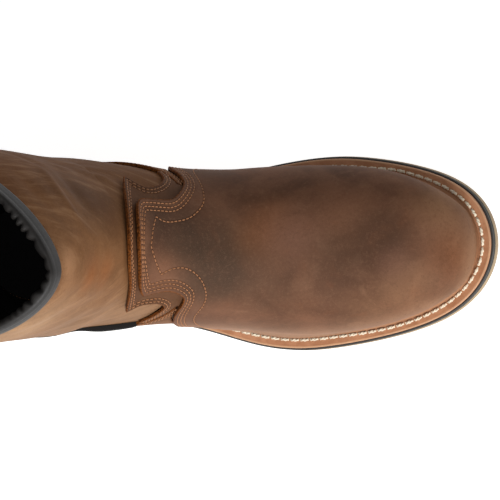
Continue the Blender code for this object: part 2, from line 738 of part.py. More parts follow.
def ladder(start, count):
    """Cap faces between the two sides of a ring of pairs."""
    pairs = (count - 2) // 2
    faces = [(start, start + 1, start + count - 1)]
    for i in range(1, pairs):
        faces.append((start + i, start + i + 1, start + count - i - 1, start + count - i))
    faces.append((start + pairs, start + pairs + 1, start + pairs + 2))
    return faces


def stack(name, rings):
    """A solid through rings of the sole, closed by a ladder at both ends."""
    count = len(rings[0])
    faces = torus_faces(len(rings), count)[:(len(rings) - 1) * count]
    faces.extend(ladder(0, count))
    faces.extend(ladder((len(rings) - 1) * count, count))
    return make(name, np.vstack(rings), faces)


def tread_z(x):
    """Underside of the sole without grooves: flat heel, breast, arch, flat ball, toe spring."""
    x = np.asarray(x, float)
    arch = 17.0 * (1.0 - ease(x, 90.0, 178.0))
    spring = 15.5 * np.clip((x - 225.0) / 77.0, 0.0, 1.2) ** 2
    return np.where(x < HEEL_BREAST, 0.0, arch + spring)


def lug_z(x):
    """Underside with the cross grooves."""
    x = np.asarray(x, float)
    near = np.min(np.abs(x[:, None] - np.array(groove_places())[None]), axis=1)
    return tread_z(x) + np.where(near < GROOVE / 2 - 0.25, LUG_DEPTH, 0.0)


def layer_z(drop):
    """Height of a layer of the sole, measured down from the feather line."""
    return lambda x: feather_z(x) - drop


def build_outsole():
    shares = rungs(True)
    bottom = ring(0.5, lug_z, shares)
    side = ring(0.0, lambda x: tread_z(x) + LUG_DEPTH + 1.0, shares)
    top = ring(0.6, layer_z(BALL_HEIGHT - OUTSOLE_THICK), shares)
    count = len(bottom)
    pairs = len(shares)
    points = [bottom, side, top]
    faces = torus_faces(3, count)[:2 * count]
    faces.extend(ladder(2 * count, count))
    # The underside has a groove along its middle, so each rung gets four more points
    low = bottom[1:pairs + 1]
    far = bottom[pairs + 2:][::-1]
    middle = (low[:, 1] + far[:, 1]) / 2.0
    base = tread_z(low[:, 0])
    open_run = (low[:, 0] > 12.0) & (low[:, 0] < 288.0)
    high = np.where(open_run, base + LUG_DEPTH, low[:, 2])
    inner = []
    for offset, z in ((0.5, low[:, 2]), (0.0, high), (-0.0, high), (-0.5, low[:, 2])):
        lean = CENTRE_GROOVE / 2.0 * (1.0 if len(inner) < 2 else -1.0) + offset
        inner.append(np.c_[low[:, 0], middle + lean, z])
    points.extend(inner)
    columns = [1 + np.arange(pairs)]
    for k in range(4):
        columns.append(3 * count + k * pairs + np.arange(pairs))
    columns.append(count - 1 - np.arange(pairs))
    for left, right in zip(columns[:-1], columns[1:]):
        for i in range(pairs - 1):
            faces.append((left[i], left[i + 1], right[i + 1], right[i]))
        faces.append((0, left[0], right[0]))
        faces.append((pairs + 1, right[-1], left[-1]))
    return make("outsole", np.vstack(points), faces)


def build_midsole():
    shares = rungs(False)
    bottom = BALL_HEIGHT - OUTSOLE_THICK - GAP
    profile = [(0.9, 0.0), (0.4, 1.6), (1.4, 2.3), (1.4, 3.2), (0.4, 3.9), (1.0, MIDSOLE_THICK)]
    return stack("midsole", [ring(inset, layer_z(bottom - rise), shares) for inset, rise in profile])


def build_welt():
    shares = rungs(False)
    bottom = WELT_THICK + GAP
    profile = [(WELT_INSET, bottom), (WELT_INSET, SOLE_GAP), (WELT_WIDTH, SOLE_GAP), (WELT_WIDTH, bottom)]
    rings = [ring(inset, layer_z(drop), shares) for inset, drop in profile]
    return make("welt", np.vstack(rings), torus_faces(4, len(rings[0])))


def build_insole():
    shares = rungs(False)
    plug = WELT_WIDTH + 0.4
    rings = [
        ring(plug, layer_z(WELT_THICK + GAP), shares),
        ring(plug, layer_z(SOLE_GAP - GAP), shares),
        ring(lambda x: feather_inset(x) + WALL + INSOLE_CLEAR, layer_z(SOLE_GAP - GAP), shares),
        ring(lambda x: feather_inset(x) + WALL + INSOLE_CLEAR, layer_z(-INSOLE_THICK), shares),
    ]
    return stack("insole", rings)


def back_along():
    """Place of the quarter's top edge in the run of sections, at the back seam."""
    t = np.linspace(LAST.heel_end, LAST.end, 400)
    return float(np.interp(QUARTER_BACK_HEIGHT, LAST.sections(t)[:, 1], t))


BACK_ALONG = back_along()

for old in list(bpy.data.objects):
    bpy.data.objects.remove(old, do_unlink=True)

pieces = [
    build_outsole(),
    build_midsole(),
    build_welt(),
    build_insole(),
    build_upper(),
    build_saddle(),
    build_quarter(),
    build_vamp(),
    build_strip("side_strip_medial", 1),
    build_strip("side_strip_lateral", -1),
    build_collar(),
]

# One parent puts the middle of the standing boot on the origin
corners = np.array([v.co for piece in pieces for v in piece.data.vertices])
lowest = corners.min(axis=0)
highest = corners.max(axis=0)
boot = bpy.data.objects.new("boot", None)
bpy.context.collection.objects.link(boot)
boot.location = (-(lowest[0] + highest[0]) / 2.0, -(lowest[1] + highest[1]) / 2.0, -lowest[2])
for piece in pieces:
    piece.parent = boot
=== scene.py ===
"""Looks of the wellington work boot: leather pieces, threads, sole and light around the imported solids."""
import math

import bpy
import numpy as np
from mathutils import Matrix, Vector
from mathutils.geometry import delaunay_2d_cdt
from mathutils.kdtree import KDTree


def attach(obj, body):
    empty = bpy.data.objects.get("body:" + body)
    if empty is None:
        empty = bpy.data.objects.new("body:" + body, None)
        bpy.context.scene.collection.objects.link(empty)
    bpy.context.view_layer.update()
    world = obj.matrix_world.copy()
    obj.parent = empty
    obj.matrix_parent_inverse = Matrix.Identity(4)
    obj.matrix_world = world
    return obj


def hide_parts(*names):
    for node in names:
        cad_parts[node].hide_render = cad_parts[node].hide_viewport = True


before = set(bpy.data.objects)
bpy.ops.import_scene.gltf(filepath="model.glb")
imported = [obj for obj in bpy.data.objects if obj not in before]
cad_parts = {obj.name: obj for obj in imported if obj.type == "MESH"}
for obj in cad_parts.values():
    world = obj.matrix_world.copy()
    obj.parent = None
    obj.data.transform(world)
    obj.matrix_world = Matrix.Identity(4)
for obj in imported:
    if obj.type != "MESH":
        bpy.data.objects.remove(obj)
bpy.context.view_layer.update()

MM = 0.001
# Middle of the standing boot in the last's own millimetres, heel at x = 0
MIDDLE = np.array([149.8094, -3.6852, 0.0])

# Sizes of the last and the sole. The welt's inset and the lateral widths of the toe differ a little from the
# solids, so that the leather lies close to the welt.
SOLE_LENGTH = 302.0
HEEL_SEAT_HEIGHT = 36.0
BALL_HEIGHT = 18.0
TOE_SPRING = 13.5
COLLAR_HEIGHT = 246.0
WALL = 2.2
GAP = 0.3
SOLE_GAP = 0.5
SADDLE_TOP = 1.9
QUARTER_TOP = 2.1
VAMP_TOP = 2.3
VAMP_LAP_TOP = 3.9
STRIP_TOP = 1.2
LAP = 22.0
WELT_THICK = 3.2
WELT_INSET = 1.7
WELT_WIDTH = 15.0
OUTSOLE_THICK = 7.9
INSOLE_THICK = 4.0
INSOLE_CLEAR = 1.7
LUG_DEPTH = 3.5
LUG_PITCH = 14.0
GROOVE = 4.5
CENTRE_GROOVE = 3.0
HEEL_BREAST = 87.0

# Plan of the sole edge: x from the back of the heel, medial y, lateral y
SOLE_PLAN = [
    (10, 21, -25),
    (25, 31.5, -36),
    (45, 36, -40.5),
    (75, 35.5, -41.5),
    (105, 33, -42),
    (135, 35.5, -46.5),
    (165, 43.5, -55),
    (190, 48.6, -57.8),
    (210, 50.4, -56),
    (235, 48.7, -51.3),
    (260, 43.7, -44.2),
    (280, 36, -34.6),
    (294, 24.5, -21.5),
]
HEEL_END = (0.0, -2.0)
TOE_END = (SOLE_LENGTH, 1.0)
TOE_DEPTH = 9.0
TOE_WIDEST = 0.3

# Sections of the foot. Columns: base x, crown x, crown z, crown y, medial y, lateral y, widest, top power
FOOT_SECTIONS = {
    "toe wall": (279, 291.6, 42, 0.8, 18.6, -17, 0.42, 2.04),
    "toe front": (275, 289, 54, 0.8, 22.5, -21.6, 0.40, 2.14),
    "toe crown": (267, 280, 64, 0.6, 28.6, -28.3, 0.38, 2.30),
    "toe box": (252, 262, 71.5, 0, 36.1, -36, 0.36, 2.35),
    "joint": (226, 236, 79, -0.5, 41.3, -42.4, 0.34, 2.20),
    "ball": (196, 207, 89.5, -1, 41.8, -45.3, 0.33, 2.10),
    "waist": (164, 180, 101.5, -1, 40.3, -42.8, 0.34, 2.00),
    "instep": (130, 159, 116, -1, 38.3, -39.6, 0.38, 2.00),
    "throat": (95, 147, 132, -1, 42, -40.4, 0.44, 2.00),
    "heel seat": (55, 141.5, 145, -1.2, 45.8, -42.6, 0.47, 2.00),
    "heel curve": (22, 139, 156, -1.6, 47.8, -44.8, 0.48, 2.00),
}
# Sections of the shaft. Columns: back x, back z, front x, front z, back y, front y, medial half width,
# lateral half width, widest, front power, back power, ring
SHAFT_SECTIONS = {
    "heel end": (6, HEEL_SEAT_HEIGHT, 137.6, 164, -2, -2, 50, 45.2, 0.49, 2.00, 2.15, 0),
    "heel back": (4.2, 62, 136.4, 175, -1.4, -2.4, 50.2, 45.8, 0.49, 1.95, 2.20, 0.35),
    "heel top": (7.5, 92, 135.4, 187, 0, -3, 50.3, 46.4, 0.49, 1.90, 2.15, 0.85),
    "ankle": (10.5, 125, 134.6, 200, 2, -4, 50.4, 47, 0.49, 1.88, 2.10, 1),
    "shaft": (8, 165, 134, 215, 4.4, -5.4, 50.4, 47.8, 0.49, 1.84, 2.05, 1),
    "leg": (3.5, 206, 132.8, 230, 7, -9, 50, 47.4, 0.49, 1.76, 2.00, 1),
    "collar": (-1, COLLAR_HEIGHT, 130.3, COLLAR_HEIGHT, 9, -13, 47.5, 43.5, 0.49, 1.62, 1.95, 1),
}

# Seams, as rows of along and around, with a mark at each corner. Along is the run of sections from the toe,
# around the share of the way from the ridge (0) to the sole edge or back seam (1), medial positive. The edges
# and the scroll run from the medial to the lateral side, the saddle's hidden edge runs back.
CORNER = True
SOLE_SHARE = 0.988
THROAT_ALONG = 278.7
VAMP_EDGE = [
    (237, SOLE_SHARE, CORNER), (252, 0.740), (257, 0.510), (249.6, 0.400), (248.3, 0.317),
    (252.3, 0.267), (263, 0.208), (281, 0.183), (320, 0.158, CORNER), (350, 0.078), (356, 0.008),
    (347, -0.060), (316, -0.160, CORNER), (292, -0.166), (270, -0.175), (256, -0.203),
    (249.6, -0.240), (251.5, -0.305), (255.6, -0.433), (252.5, -0.560), (237, -SOLE_SHARE, CORNER),
]
SADDLE_EDGE = [
    (270.2, 0.462, CORNER), (267.6, 0.420), (267.2, 0.367), (270.9, 0.318), (281, 0.272), (300, 0.242),
    (330, 0.272, CORNER), (362, 0.100), (371.5, 0.008), (356, -0.090), (326, -0.258, CORNER),
    (306, -0.236), (290, -0.246), (274, -0.272), (268.6, -0.305), (272, -0.345),
    (288, -0.470, CORNER),
]
SADDLE_HIDDEN = [
    (244, -0.330), (242.5, -0.250), (256, -0.150), (300, -0.100), (334, 0.005), (300, 0.100),
    (257, 0.155), (241.5, 0.270), (242, 0.350),
]
# Fourth row of thread on the vamp, a free scroll inside the other three
VAMP_SCROLL = [
    (233, 0.640), (237, 0.517), (229, 0.283), (229, 0.217), (236.3, 0.158), (259, 0.108),
    (282.3, 0.098), (294.9, 0.108, CORNER), (311.6, 0.033), (315.6, 0.008, CORNER), (284.9, -0.092, CORNER),
    (261.6, -0.075), (243, -0.092), (229, -0.167), (226.3, -0.242), (236.3, -0.425), (232.3, -0.583),
    (225.7, -0.692),
]
# Top edge of the quarter in side view, from the vamp to the back seam: x, z
QUARTER_TOP_EDGE = {
    1: [(146, 101.5), (133, 91.6), (119, 87), (104, 81.5), (85, 78), (52, 82), (24, 96)],
    -1: [(145.5, 102.5), (129, 94.2), (108, 89.5), (85, 87), (52, 88), (24, 97)],
}
QUARTER_BACK_HEIGHT = 106.0
QUARTER_VAMP_SHARE = {1: 0.345, -1: 0.325}
# Edges of the side strips in side view, from collar to ankle: z, rear x, front x. The lateral one sweeps
# forward along the top of the quarter and is thicker there.
STRIP_EDGES = {
    1: [(239.8, 36.5, 50.5), (205, 36.5, 50.5), (168, 37.5, 51.5), (137, 39.5, 53.5), (112, 43, 57)],
    -1: [(239.8, 38, 52), (205, 38, 52), (168, 39, 53), (140, 41, 55.5), (120, 45, 60),
         (109, 51, 71), (101, 58, 96)],
}
STRIP_FOOT = {1: (46.0, 60.0), -1: (66.0, 120.5)}
STRIP_FOOT_TOP = {1: 1.2, -1: 3.2}
SEAM_CLEAR = 0.8
STRIP_CLEAR = 1.4
# Scale of along and around when a piece is cut flat
CHART = np.array([1.0, 120.0])

# Rows of thread, in millimetres from the cut edge, and the sizes of the stitches
SADDLE_ROWS = (1.9, 3.7)
VAMP_ROWS = (2.2, 4.1, 6.0)
QUARTER_ROWS = (2.0, 3.8)
STITCH_PITCH = 2.65
STITCH_LENGTH = 2.05
THREAD = 0.34
WELT_PITCH = 5.5
WELT_STITCH = 5.1
WELT_THREAD = 0.95
WELT_ROW = 3.2
WELT_ROW_RISE = 0.35
OUTER_SHIFT = 2.0
INNER_SHIFT = 1.7
TWIST = 1.15
# The leather's foot is turned out on the welt, the toe closes up to it, and the laps are lifted
FLARE = 2.5
FLARE_RISE = 2.5
TURN_OUT = 12.0
TOE_CLOSE = (250.0, 275.0)
LAP_LIFT = 1.1
LAP_REACH = 6.0
# Steps of the leather's mesh and its shape at cut edges and threads
FINE_STEP = 1.3
ROLL = 0.7
THREAD_DIP = 0.9
THREAD_PRESS = 0.3
THREAD_SPREAD = 0.55
THREAD_SUNK = 0.12
FAR = 9.0
# Steps of the last's table along the foot, along the shaft and from the ridge to each side, then other steps
FOOT_STEPS = 380
SHAFT_STEPS = 230
SIDE_STEPS = 160
SECTION_STEPS = 120
SEARCH_STEPS = 900
RING_STEPS = 41
SOLE_STEPS = 1440
# Normals are carried on from here to the sole edge and to the toe, where the table is too steep
STEADY_SHARE = 0.96
STEADY_TOE = 4.0
# The collar: steps around, rows and run of the last under it, and its profile as offset and rise
COLLAR_STEPS = 420
COLLAR_ROWS = 40
COLLAR_RUN = 75.0
LINING_DROP = 20.8
COLLAR_PROFILE = [
    (0.3, -5.5), (0.9, -5.6), (1.3, -4.6), (1.45, -1.5), (1.3, 0.9), (0.6, 2.5), (-0.5, 3.2), (-1.6, 3.25),
    (-2.8, 2.6), (-3.7, 1.2), (-4.2, -1.5), (-4.4, -6), (-4.4, -12), (-4, -17), (-3.4, -20),
    (-2.7, -20), (-2.7, -12), (-2.6, 0.2), (-1, 0.35), (0.3, 0.3), (0.3, -2.6),
]
# The view of the photograph, and half the width of the floor in metres
CAMERA_TILT = 74.0
CAMERA_AWAY = 1.4
CAMERA_LENS = 185.3
CAMERA_TARGET = (171.0, -1.68, 50.0)
FLOOR_REACH = 6.0


def ease(x, start, stop):
    """Soft step from 0 at start to 1 at stop."""
    u = np.clip((np.asarray(x, float) - start) / (stop - start), 0.0, 1.0)
    return u * u * (3.0 - 2.0 * u)


def spline(knots, values, at):
    """Natural cubic spline through rows of values."""
    k = np.asarray(knots, float)
    v = np.asarray(values, float)
    step = np.diff(k)
    size = len(k)
    left = np.eye(size)
    right = np.zeros_like(v)
    for i in range(1, size - 1):
        left[i, i - 1:i + 2] = step[i - 1], 2.0 * (step[i - 1] + step[i]), step[i]
        right[i] = 6.0 * ((v[i + 1] - v[i]) / step[i] - (v[i] - v[i - 1]) / step[i - 1])
    bend = np.linalg.solve(left, right)
    at = np.clip(np.asarray(at, float), k[0], k[-1])
    i = np.clip(np.searchsorted(k, at, side="right") - 1, 0, size - 2)
    a = ((k[i + 1] - at) / step[i])[:, None]
    b = ((at - k[i]) / step[i])[:, None]
    h = (step[i] ** 2 / 6.0)[:, None]
    return a * v[i] + b * v[i + 1] + ((a ** 3 - a) * bend[i] + (b ** 3 - b) * bend[i + 1]) * h


def run_length(points):
    """Distance along a line of points, from 0."""
    return np.r_[0.0, np.cumsum(np.linalg.norm(np.diff(points, axis=0), axis=1))]


def even_steps(length, step):
    """Distances from 0 to a length, no further apart than a step."""
    return np.linspace(0.0, length, max(2, int(math.ceil(length / step)) + 1))


def follow(points, run, at):
    """Points at distances along a line."""
    return np.c_[tuple(np.interp(at, run, column) for column in points.T)]


def resample(points, step):
    """A line of points cut again to even steps."""
    run = run_length(points)
    return follow(points, run, even_steps(run[-1], step))


def through(points, step):
    """Smooth line through points, cut to even steps."""
    p = np.asarray(points, float)
    run = run_length(p)
    return spline(run, p, even_steps(run[-1], step))


def unit(rows):
    """Vectors brought to length one."""
    return rows / np.maximum(np.linalg.norm(rows, axis=-1), 1e-9)[..., None]


def dot(a, b):
    """Products of two sets of vectors, row by row."""
    return np.einsum("ij,ij->i", a, b)


def sole_line(inset):
    """Fine closed line of the sole edge, moved inwards by inset(x)."""
    medial = [(x, m) for x, m, side in SOLE_PLAN]
    lateral = [(x, side) for x, m, side in reversed(SOLE_PLAN)]
    p = np.array([HEEL_END] + medial + [TOE_END] + lateral)
    wrapped = np.vstack([p[-4:], p, p[:5]])
    run = run_length(wrapped)
    line = spline(run, wrapped, np.linspace(run[4], run[4 + len(p)], SOLE_STEPS, endpoint=False))
    tangent = unit(np.roll(line, -1, 0) - np.roll(line, 1, 0))
    inward = np.c_[tangent[:, 1], -tangent[:, 0]]
    return line + inward * np.broadcast_to(inset(line[:, 0]), len(line))[:, None]


def halves(line):
    """Split a closed sole line into medial and lateral halves, each from heel to toe."""
    heel = line[:, 0].argmin()
    line = np.roll(line, -heel, 0)
    toe = line[:, 0].argmax()
    medial = line[:toe + 1]
    lateral = np.vstack([line[toe:], line[:1]])[::-1]
    return medial[np.argsort(medial[:, 0])], lateral[np.argsort(lateral[:, 0])]


def feather_inset(x):
    """How far the bare upper stands inside the sole edge."""
    return 6.0 + 3.8 * ease(x, 90, 170) + 1.9 * ease(x, 225, 290)


def toe_lift(x):
    """Rise of the sole towards the toe."""
    return TOE_SPRING * np.clip((np.asarray(x, float) - 215.0) / 80.0, 0.0, 1.2) ** 2


def feather_z(x):
    """Height of the line where the upper meets the sole."""
    return HEEL_SEAT_HEIGHT - (HEEL_SEAT_HEIGHT - BALL_HEIGHT) * ease(x, 70, 195) + toe_lift(x)


def above_sole(points):
    """Height of points over the feather line."""
    return points[..., 2] - feather_z(points[..., 0])


class Near:
    """Distances from a set of points."""

    def __init__(self, points):
        self.tree = KDTree(len(points))
        for i, p in enumerate(points):
            self.tree.insert(p, i)
        self.tree.balance()

    def __call__(self, points):
        return np.array([self.tree.find(p)[2] for p in points])

    def index(self, points):
        return np.array([self.tree.find(p)[1] for p in points])


class Last:
    """The outer face of the bare upper as a function of along and around."""

    def __init__(self):
        self.medial, self.lateral = halves(sole_line(feather_inset))
        tip = self.medial[-1]
        start = tip[0] - TOE_DEPTH
        sides = self.feather(start + TOE_DEPTH * TOE_WIDEST)
        flat = (start, tip[0], feather_z(tip[0]), tip[1], sides[0], sides[1], TOE_WIDEST, 2.0)
        rows = []
        for base, cx, cz, cy, my, ly, wide, top in [flat] + list(FOOT_SECTIONS.values()):
            m, side = self.feather(base)
            base_y = (m + side) / 2.0
            middle = base_y + (cy - base_y) * wide
            rows.append((base, feather_z(base), cx, cz, base_y, cy, my - middle, middle - ly, wide, top,
                         2.0, 0.0))
        self.foot_count = len(rows)
        rows.extend(SHAFT_SECTIONS.values())
        self.rows = np.array(rows)
        self.rows[self.foot_count, [0, 4]] = self.medial[0]
        self.knots = run_length(self.rows[:, :4])
        self.knots += THROAT_ALONG - self.knots[1 + list(FOOT_SECTIONS).index("throat")]
        self.heel_end = self.knots[self.foot_count]
        self.start = self.knots[0]
        self.end = self.knots[-1]
        self.tabulate()

    def feather(self, x):
        """Medial and lateral y of the feather line."""
        m = np.interp(x, self.medial[:, 0], self.medial[:, 1])
        side = np.interp(x, self.lateral[:, 0], self.lateral[:, 1])
        return m, side

    def sections(self, along):
        """Rows of the section tables at places along. The base line turns up at the heel end."""
        along = np.asarray(along, float)
        k = self.foot_count
        rows = spline(self.knots, self.rows, along)
        back = spline(self.knots[k:], self.rows[k:, :2], along)
        base = spline(self.knots[:k + 1], self.rows[:k + 1, :2], along)
        rows[:, :2] = np.where((along >= self.heel_end)[:, None], back, base)
        return rows

    def section(self, along):
        """Fine points of one section: medial base, over the ridge, lateral base."""
        row = self.sections([along])[0]
        bx, bz, fx, fz, by, fy, medial, lateral, wide, top, low, oval = row
        if along < self.heel_end:
            bz = float(feather_z(bx))
        oval = min(max(oval, 0.0), 1.0)
        a = np.linspace(0.0, math.pi / 2.0, SECTION_STEPS)
        s = np.sin(a)
        c = np.cos(a)
        low_share = 1.0 - c
        rise = wide * low_share
        slide = self.medial[0, 0] - bx if along >= self.heel_end else 0.0
        plan = self.feather(bx + (fx - bx) * rise + slide)
        swell = ease(low_share, 0.0, 1.0)
        height = np.r_[rise, wide + (1.0 - wide) * s[1:] ** (2.0 / top)]
        middle = by + (fy - by) * height
        count = len(rise)
        sides = []
        for half, edge, sign in ((medial, plan[0], 1.0), (lateral, plan[1], -1.0)):
            flat = sign * (edge - middle[:count]) * (1.0 - swell) + half * swell
            ring = half * (1.0 - c ** low) ** (1.0 / low)
            foot = flat * (1.0 - oval) + ring * oval
            sides.append(middle + sign * np.r_[foot, half * c[1:] ** (2.0 / top)])
        y = np.r_[sides[0], sides[1][::-1][1:]]
        h = np.r_[height, height[::-1][1:]]
        return np.c_[bx + (fx - bx) * h, y, bz + (fz - bz) * h]

    def tabulate(self):
        """Points and outward normals on a fine grid that places are read from."""
        foot = np.linspace(self.start, self.heel_end - 1e-4, FOOT_STEPS)
        shaft = np.linspace(self.heel_end, self.end, SHAFT_STEPS)
        self.alongs = np.r_[foot, shaft]
        self.arounds = np.linspace(-1.0, 1.0, 2 * SIDE_STEPS + 1)
        lateral, medial = self.arounds[:SIDE_STEPS], self.arounds[SIDE_STEPS:]
        table = []
        for t in self.alongs:
            p = self.section(t)
            middle = len(p) // 2
            sides = []
            for half, share in ((p[middle:], -lateral), (p[:middle + 1][::-1], medial)):
                run = run_length(half)
                sides.append(follow(half, run, share * run[-1]))
            table.append(np.vstack(sides))
        self.table = np.array(table)
        normals = []
        for part in (slice(0, FOOT_STEPS), slice(FOOT_STEPS, None)):
            rows = self.table[part]
            n = unit(np.cross(np.gradient(rows, axis=1), np.gradient(rows, self.alongs[part], axis=0)))
            inner = np.abs(self.arounds) <= STEADY_SHARE
            first, last = np.nonzero(inner)[0][[0, -1]]
            n[:, :first] = n[:, first][:, None]
            n[:, last + 1:] = n[:, last][:, None]
            normals.append(n)
        near = int(np.searchsorted(self.alongs, self.start + STEADY_TOE))
        normals[0][:near] = normals[0][near]
        normals[1][:, [0, -1], 1] = 0.0
        self.normals = np.vstack(normals)
        self.turn_out()
        self.normals = unit(self.normals)

    def turn_out(self):
        """Near the sole the normals lean out from the feather line, and the toe closes up to it."""
        line = resample(np.vstack([self.medial, self.lateral[::-1]]), 0.5)
        line = np.c_[line, np.zeros(len(line))]
        tangent = np.gradient(line, axis=0)
        out = unit(np.c_[-tangent[:, 1], tangent[:, 0], tangent[:, 2]])
        tall = above_sole(self.table)
        low = (tall < TURN_OUT) & (self.alongs < self.heel_end)[:, None]
        share = (1.0 - ease(tall[low], 0.0, TURN_OUT))[:, None]
        flat = self.table[low] * (1.0, 1.0, 0.0)
        at = Near(line).index(flat)
        self.normals[low] = self.normals[low] * (1.0 - share) + out[at] * share
        off = np.sum((flat - line[at]) * out[at], axis=1)[:, None]
        self.table[low] -= out[at] * (off * (share * ease(flat[:, 0], *TOE_CLOSE)[:, None]))

    def frame(self, places):
        """Points and outward normals at rows of along and around."""
        t = np.clip(places[:, 0], self.start, self.end)
        f = np.clip(places[:, 1], -1.0, 1.0)
        i = np.clip(np.searchsorted(self.alongs, t, side="right") - 1, 0, len(self.alongs) - 2)
        j = np.clip(((f + 1.0) * SIDE_STEPS).astype(int), 0, 2 * SIDE_STEPS - 1)
        u = ((t - self.alongs[i]) / (self.alongs[i + 1] - self.alongs[i]))[:, None]
        v = ((f - self.arounds[j]) * SIDE_STEPS)[:, None]
        result = []
        for grid in (self.table, self.normals):
            low = grid[i, j] * (1 - v) + grid[i, j + 1] * v
            high = grid[i + 1, j] * (1 - v) + grid[i + 1, j + 1] * v
            result.append(low * (1 - u) + high * u)
        return result[0], unit(result[1])

    def from_side(self, x, z, side):
        """Along and around of a place given in side view, on the medial (1) or lateral (-1) side."""
        t = np.linspace(self.start, self.end, SEARCH_STEPS)
        rows = self.sections(t)
        turn = (rows[:, 2] - rows[:, 0]) * (z - rows[:, 1]) - (rows[:, 3] - rows[:, 1]) * (x - rows[:, 0])
        i = int(np.nonzero(turn >= 0.0)[0][-1])
        share = turn[i] / (turn[i] - turn[i + 1])
        along = t[i] + (t[i + 1] - t[i]) * share
        p = self.section(along)
        middle = len(p) // 2
        half = p[:middle + 1][::-1] if side > 0 else p[middle:]
        run = run_length(half)
        chord = half[0, [0, 2]] - half[-1, [0, 2]]
        reach = (half[:, [0, 2]] - half[-1, [0, 2]]) @ chord / (chord @ chord)
        here = (np.array([x, z]) - half[-1, [0, 2]]) @ chord / (chord @ chord)
        return along, side * float(np.interp(here, reach[::-1], run[::-1])) / run[-1]


LAST = Last()


def seam(rows, step):
    """Smooth line through the rows of a seam, kept sharp at its corners."""
    places = np.array([row[:2] for row in rows]) * CHART
    corners = [i for i, row in enumerate(rows) if CORNER in row[2:] or i in (0, len(rows) - 1)]
    pieces = []
    for a, b in zip(corners[:-1], corners[1:]):
        line = through(places[a:b + 1], step)
        pieces.append(line if b == corners[-1] else line[:-1])
    return np.vstack(pieces) / CHART


def shift(line, distance):
    """A seam moved sideways over the leather, to the left of its run."""
    p, n = LAST.frame(line)
    left = np.cross(n, unit(np.gradient(p, axis=0)))
    inwards = np.where(line[:, 1] > 0.0, -0.01, 0.01)
    by_along = LAST.frame(line + (1.0, 0.0))[0] - p
    by_around = LAST.frame(line + np.c_[np.zeros(len(line)), inwards])[0] - p
    aa, ab, bb = dot(by_along, by_along), dot(by_along, by_around), dot(by_around, by_around)
    la, lb = dot(by_along, left) * distance, dot(by_around, left) * distance
    det = aa * bb - ab * ab
    moved = line.copy()
    moved[:, 0] += (la * bb - lb * ab) / det
    moved[:, 1] += (lb * aa - la * ab) / det * inwards
    moved[:, 1] = np.clip(moved[:, 1], -1.0, 1.0)
    return moved


def on_last(line, step=0.4):
    """Points in space along a seam, at fine steps."""
    return resample(LAST.frame(line)[0], step)


def parallel(line, distance):
    """A seam at a distance inside a cut edge, without the parts that come closer at corners."""
    fine = resample(line * CHART, 0.5) / CHART
    edge = Near(on_last(line))
    start = LAST.frame(fine)[0]
    moved = shift(fine, distance)
    for _ in range(3):
        gone = np.linalg.norm(LAST.frame(moved)[0] - start, axis=1)
        moved = fine + (moved - fine) * (abs(distance) / gone)[:, None]
    clear = edge(LAST.frame(moved)[0]) > abs(distance) - 0.15
    return moved[clear]


def inside(places, outline):
    """Which places lie inside a closed outline."""
    result = np.zeros(len(places), bool)
    for (t0, f0), (t1, f1) in zip(outline, np.roll(outline, -1, axis=0)):
        crosses = (places[:, 1] < f0) != (places[:, 1] < f1)
        reach = t0 + (t1 - t0) * (places[:, 1] - f0) / (f1 - f0 if f1 != f0 else 1.0)
        result ^= crosses & (places[:, 0] < reach)
    return result


def lattice(step):
    """Even places all over the last."""
    places = []
    for k, t in enumerate(np.arange(LAST.start + 0.4, LAST.end, step)):
        ring = LAST.frame(np.c_[np.full(RING_STEPS, t), np.linspace(-1.0, 1.0, RING_STEPS)])[0]
        count = int(run_length(ring)[-1] / step)
        f = (np.arange(count) + 0.5 * (k % 2)) / count * 2.0 - 1.0
        places.append(np.c_[np.full(count, t), f])
    return np.vstack(places)


def metres(points):
    """Points of the boot's own millimetres in the frame of the solids."""
    return (np.asarray(points) - MIDDLE) * MM


def put(name, data):
    """A new object in the scene."""
    obj = bpy.data.objects.new(name, data)
    bpy.context.scene.collection.objects.link(obj)
    return obj


def mark(mesh, name, values):
    """Values at the points of a mesh, for its finish."""
    layer = mesh.attributes.get(name) or mesh.attributes.new(name, "FLOAT", "POINT")
    layer.data.foreach_set("value", np.asarray(values, np.float32))


def points_of(obj):
    """Points of a piece in the boot's own millimetres."""
    return np.array([v.co for v in obj.data.vertices]) / MM + MIDDLE


def piece(name, points, faces, node=None, slot=None, sharp=None, **values):
    """A piece of the boot from points in millimetres, shaded smooth up to a sharp angle."""
    mesh = bpy.data.meshes.new(name)
    mesh.from_pydata(metres(points).tolist(), [], [tuple(int(i) for i in f) for f in faces])
    mesh.validate()
    for key, value in values.items():
        mark(mesh, key, value)
    mesh.polygons.foreach_set("use_smooth", [True] * len(mesh.polygons))
    if sharp:
        mesh.set_sharp_from_angle(angle=math.radians(sharp))
    obj = put(name, mesh)
    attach(obj, "root")
    if node:
        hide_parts(node)
    slot or node or "upper"
    return obj


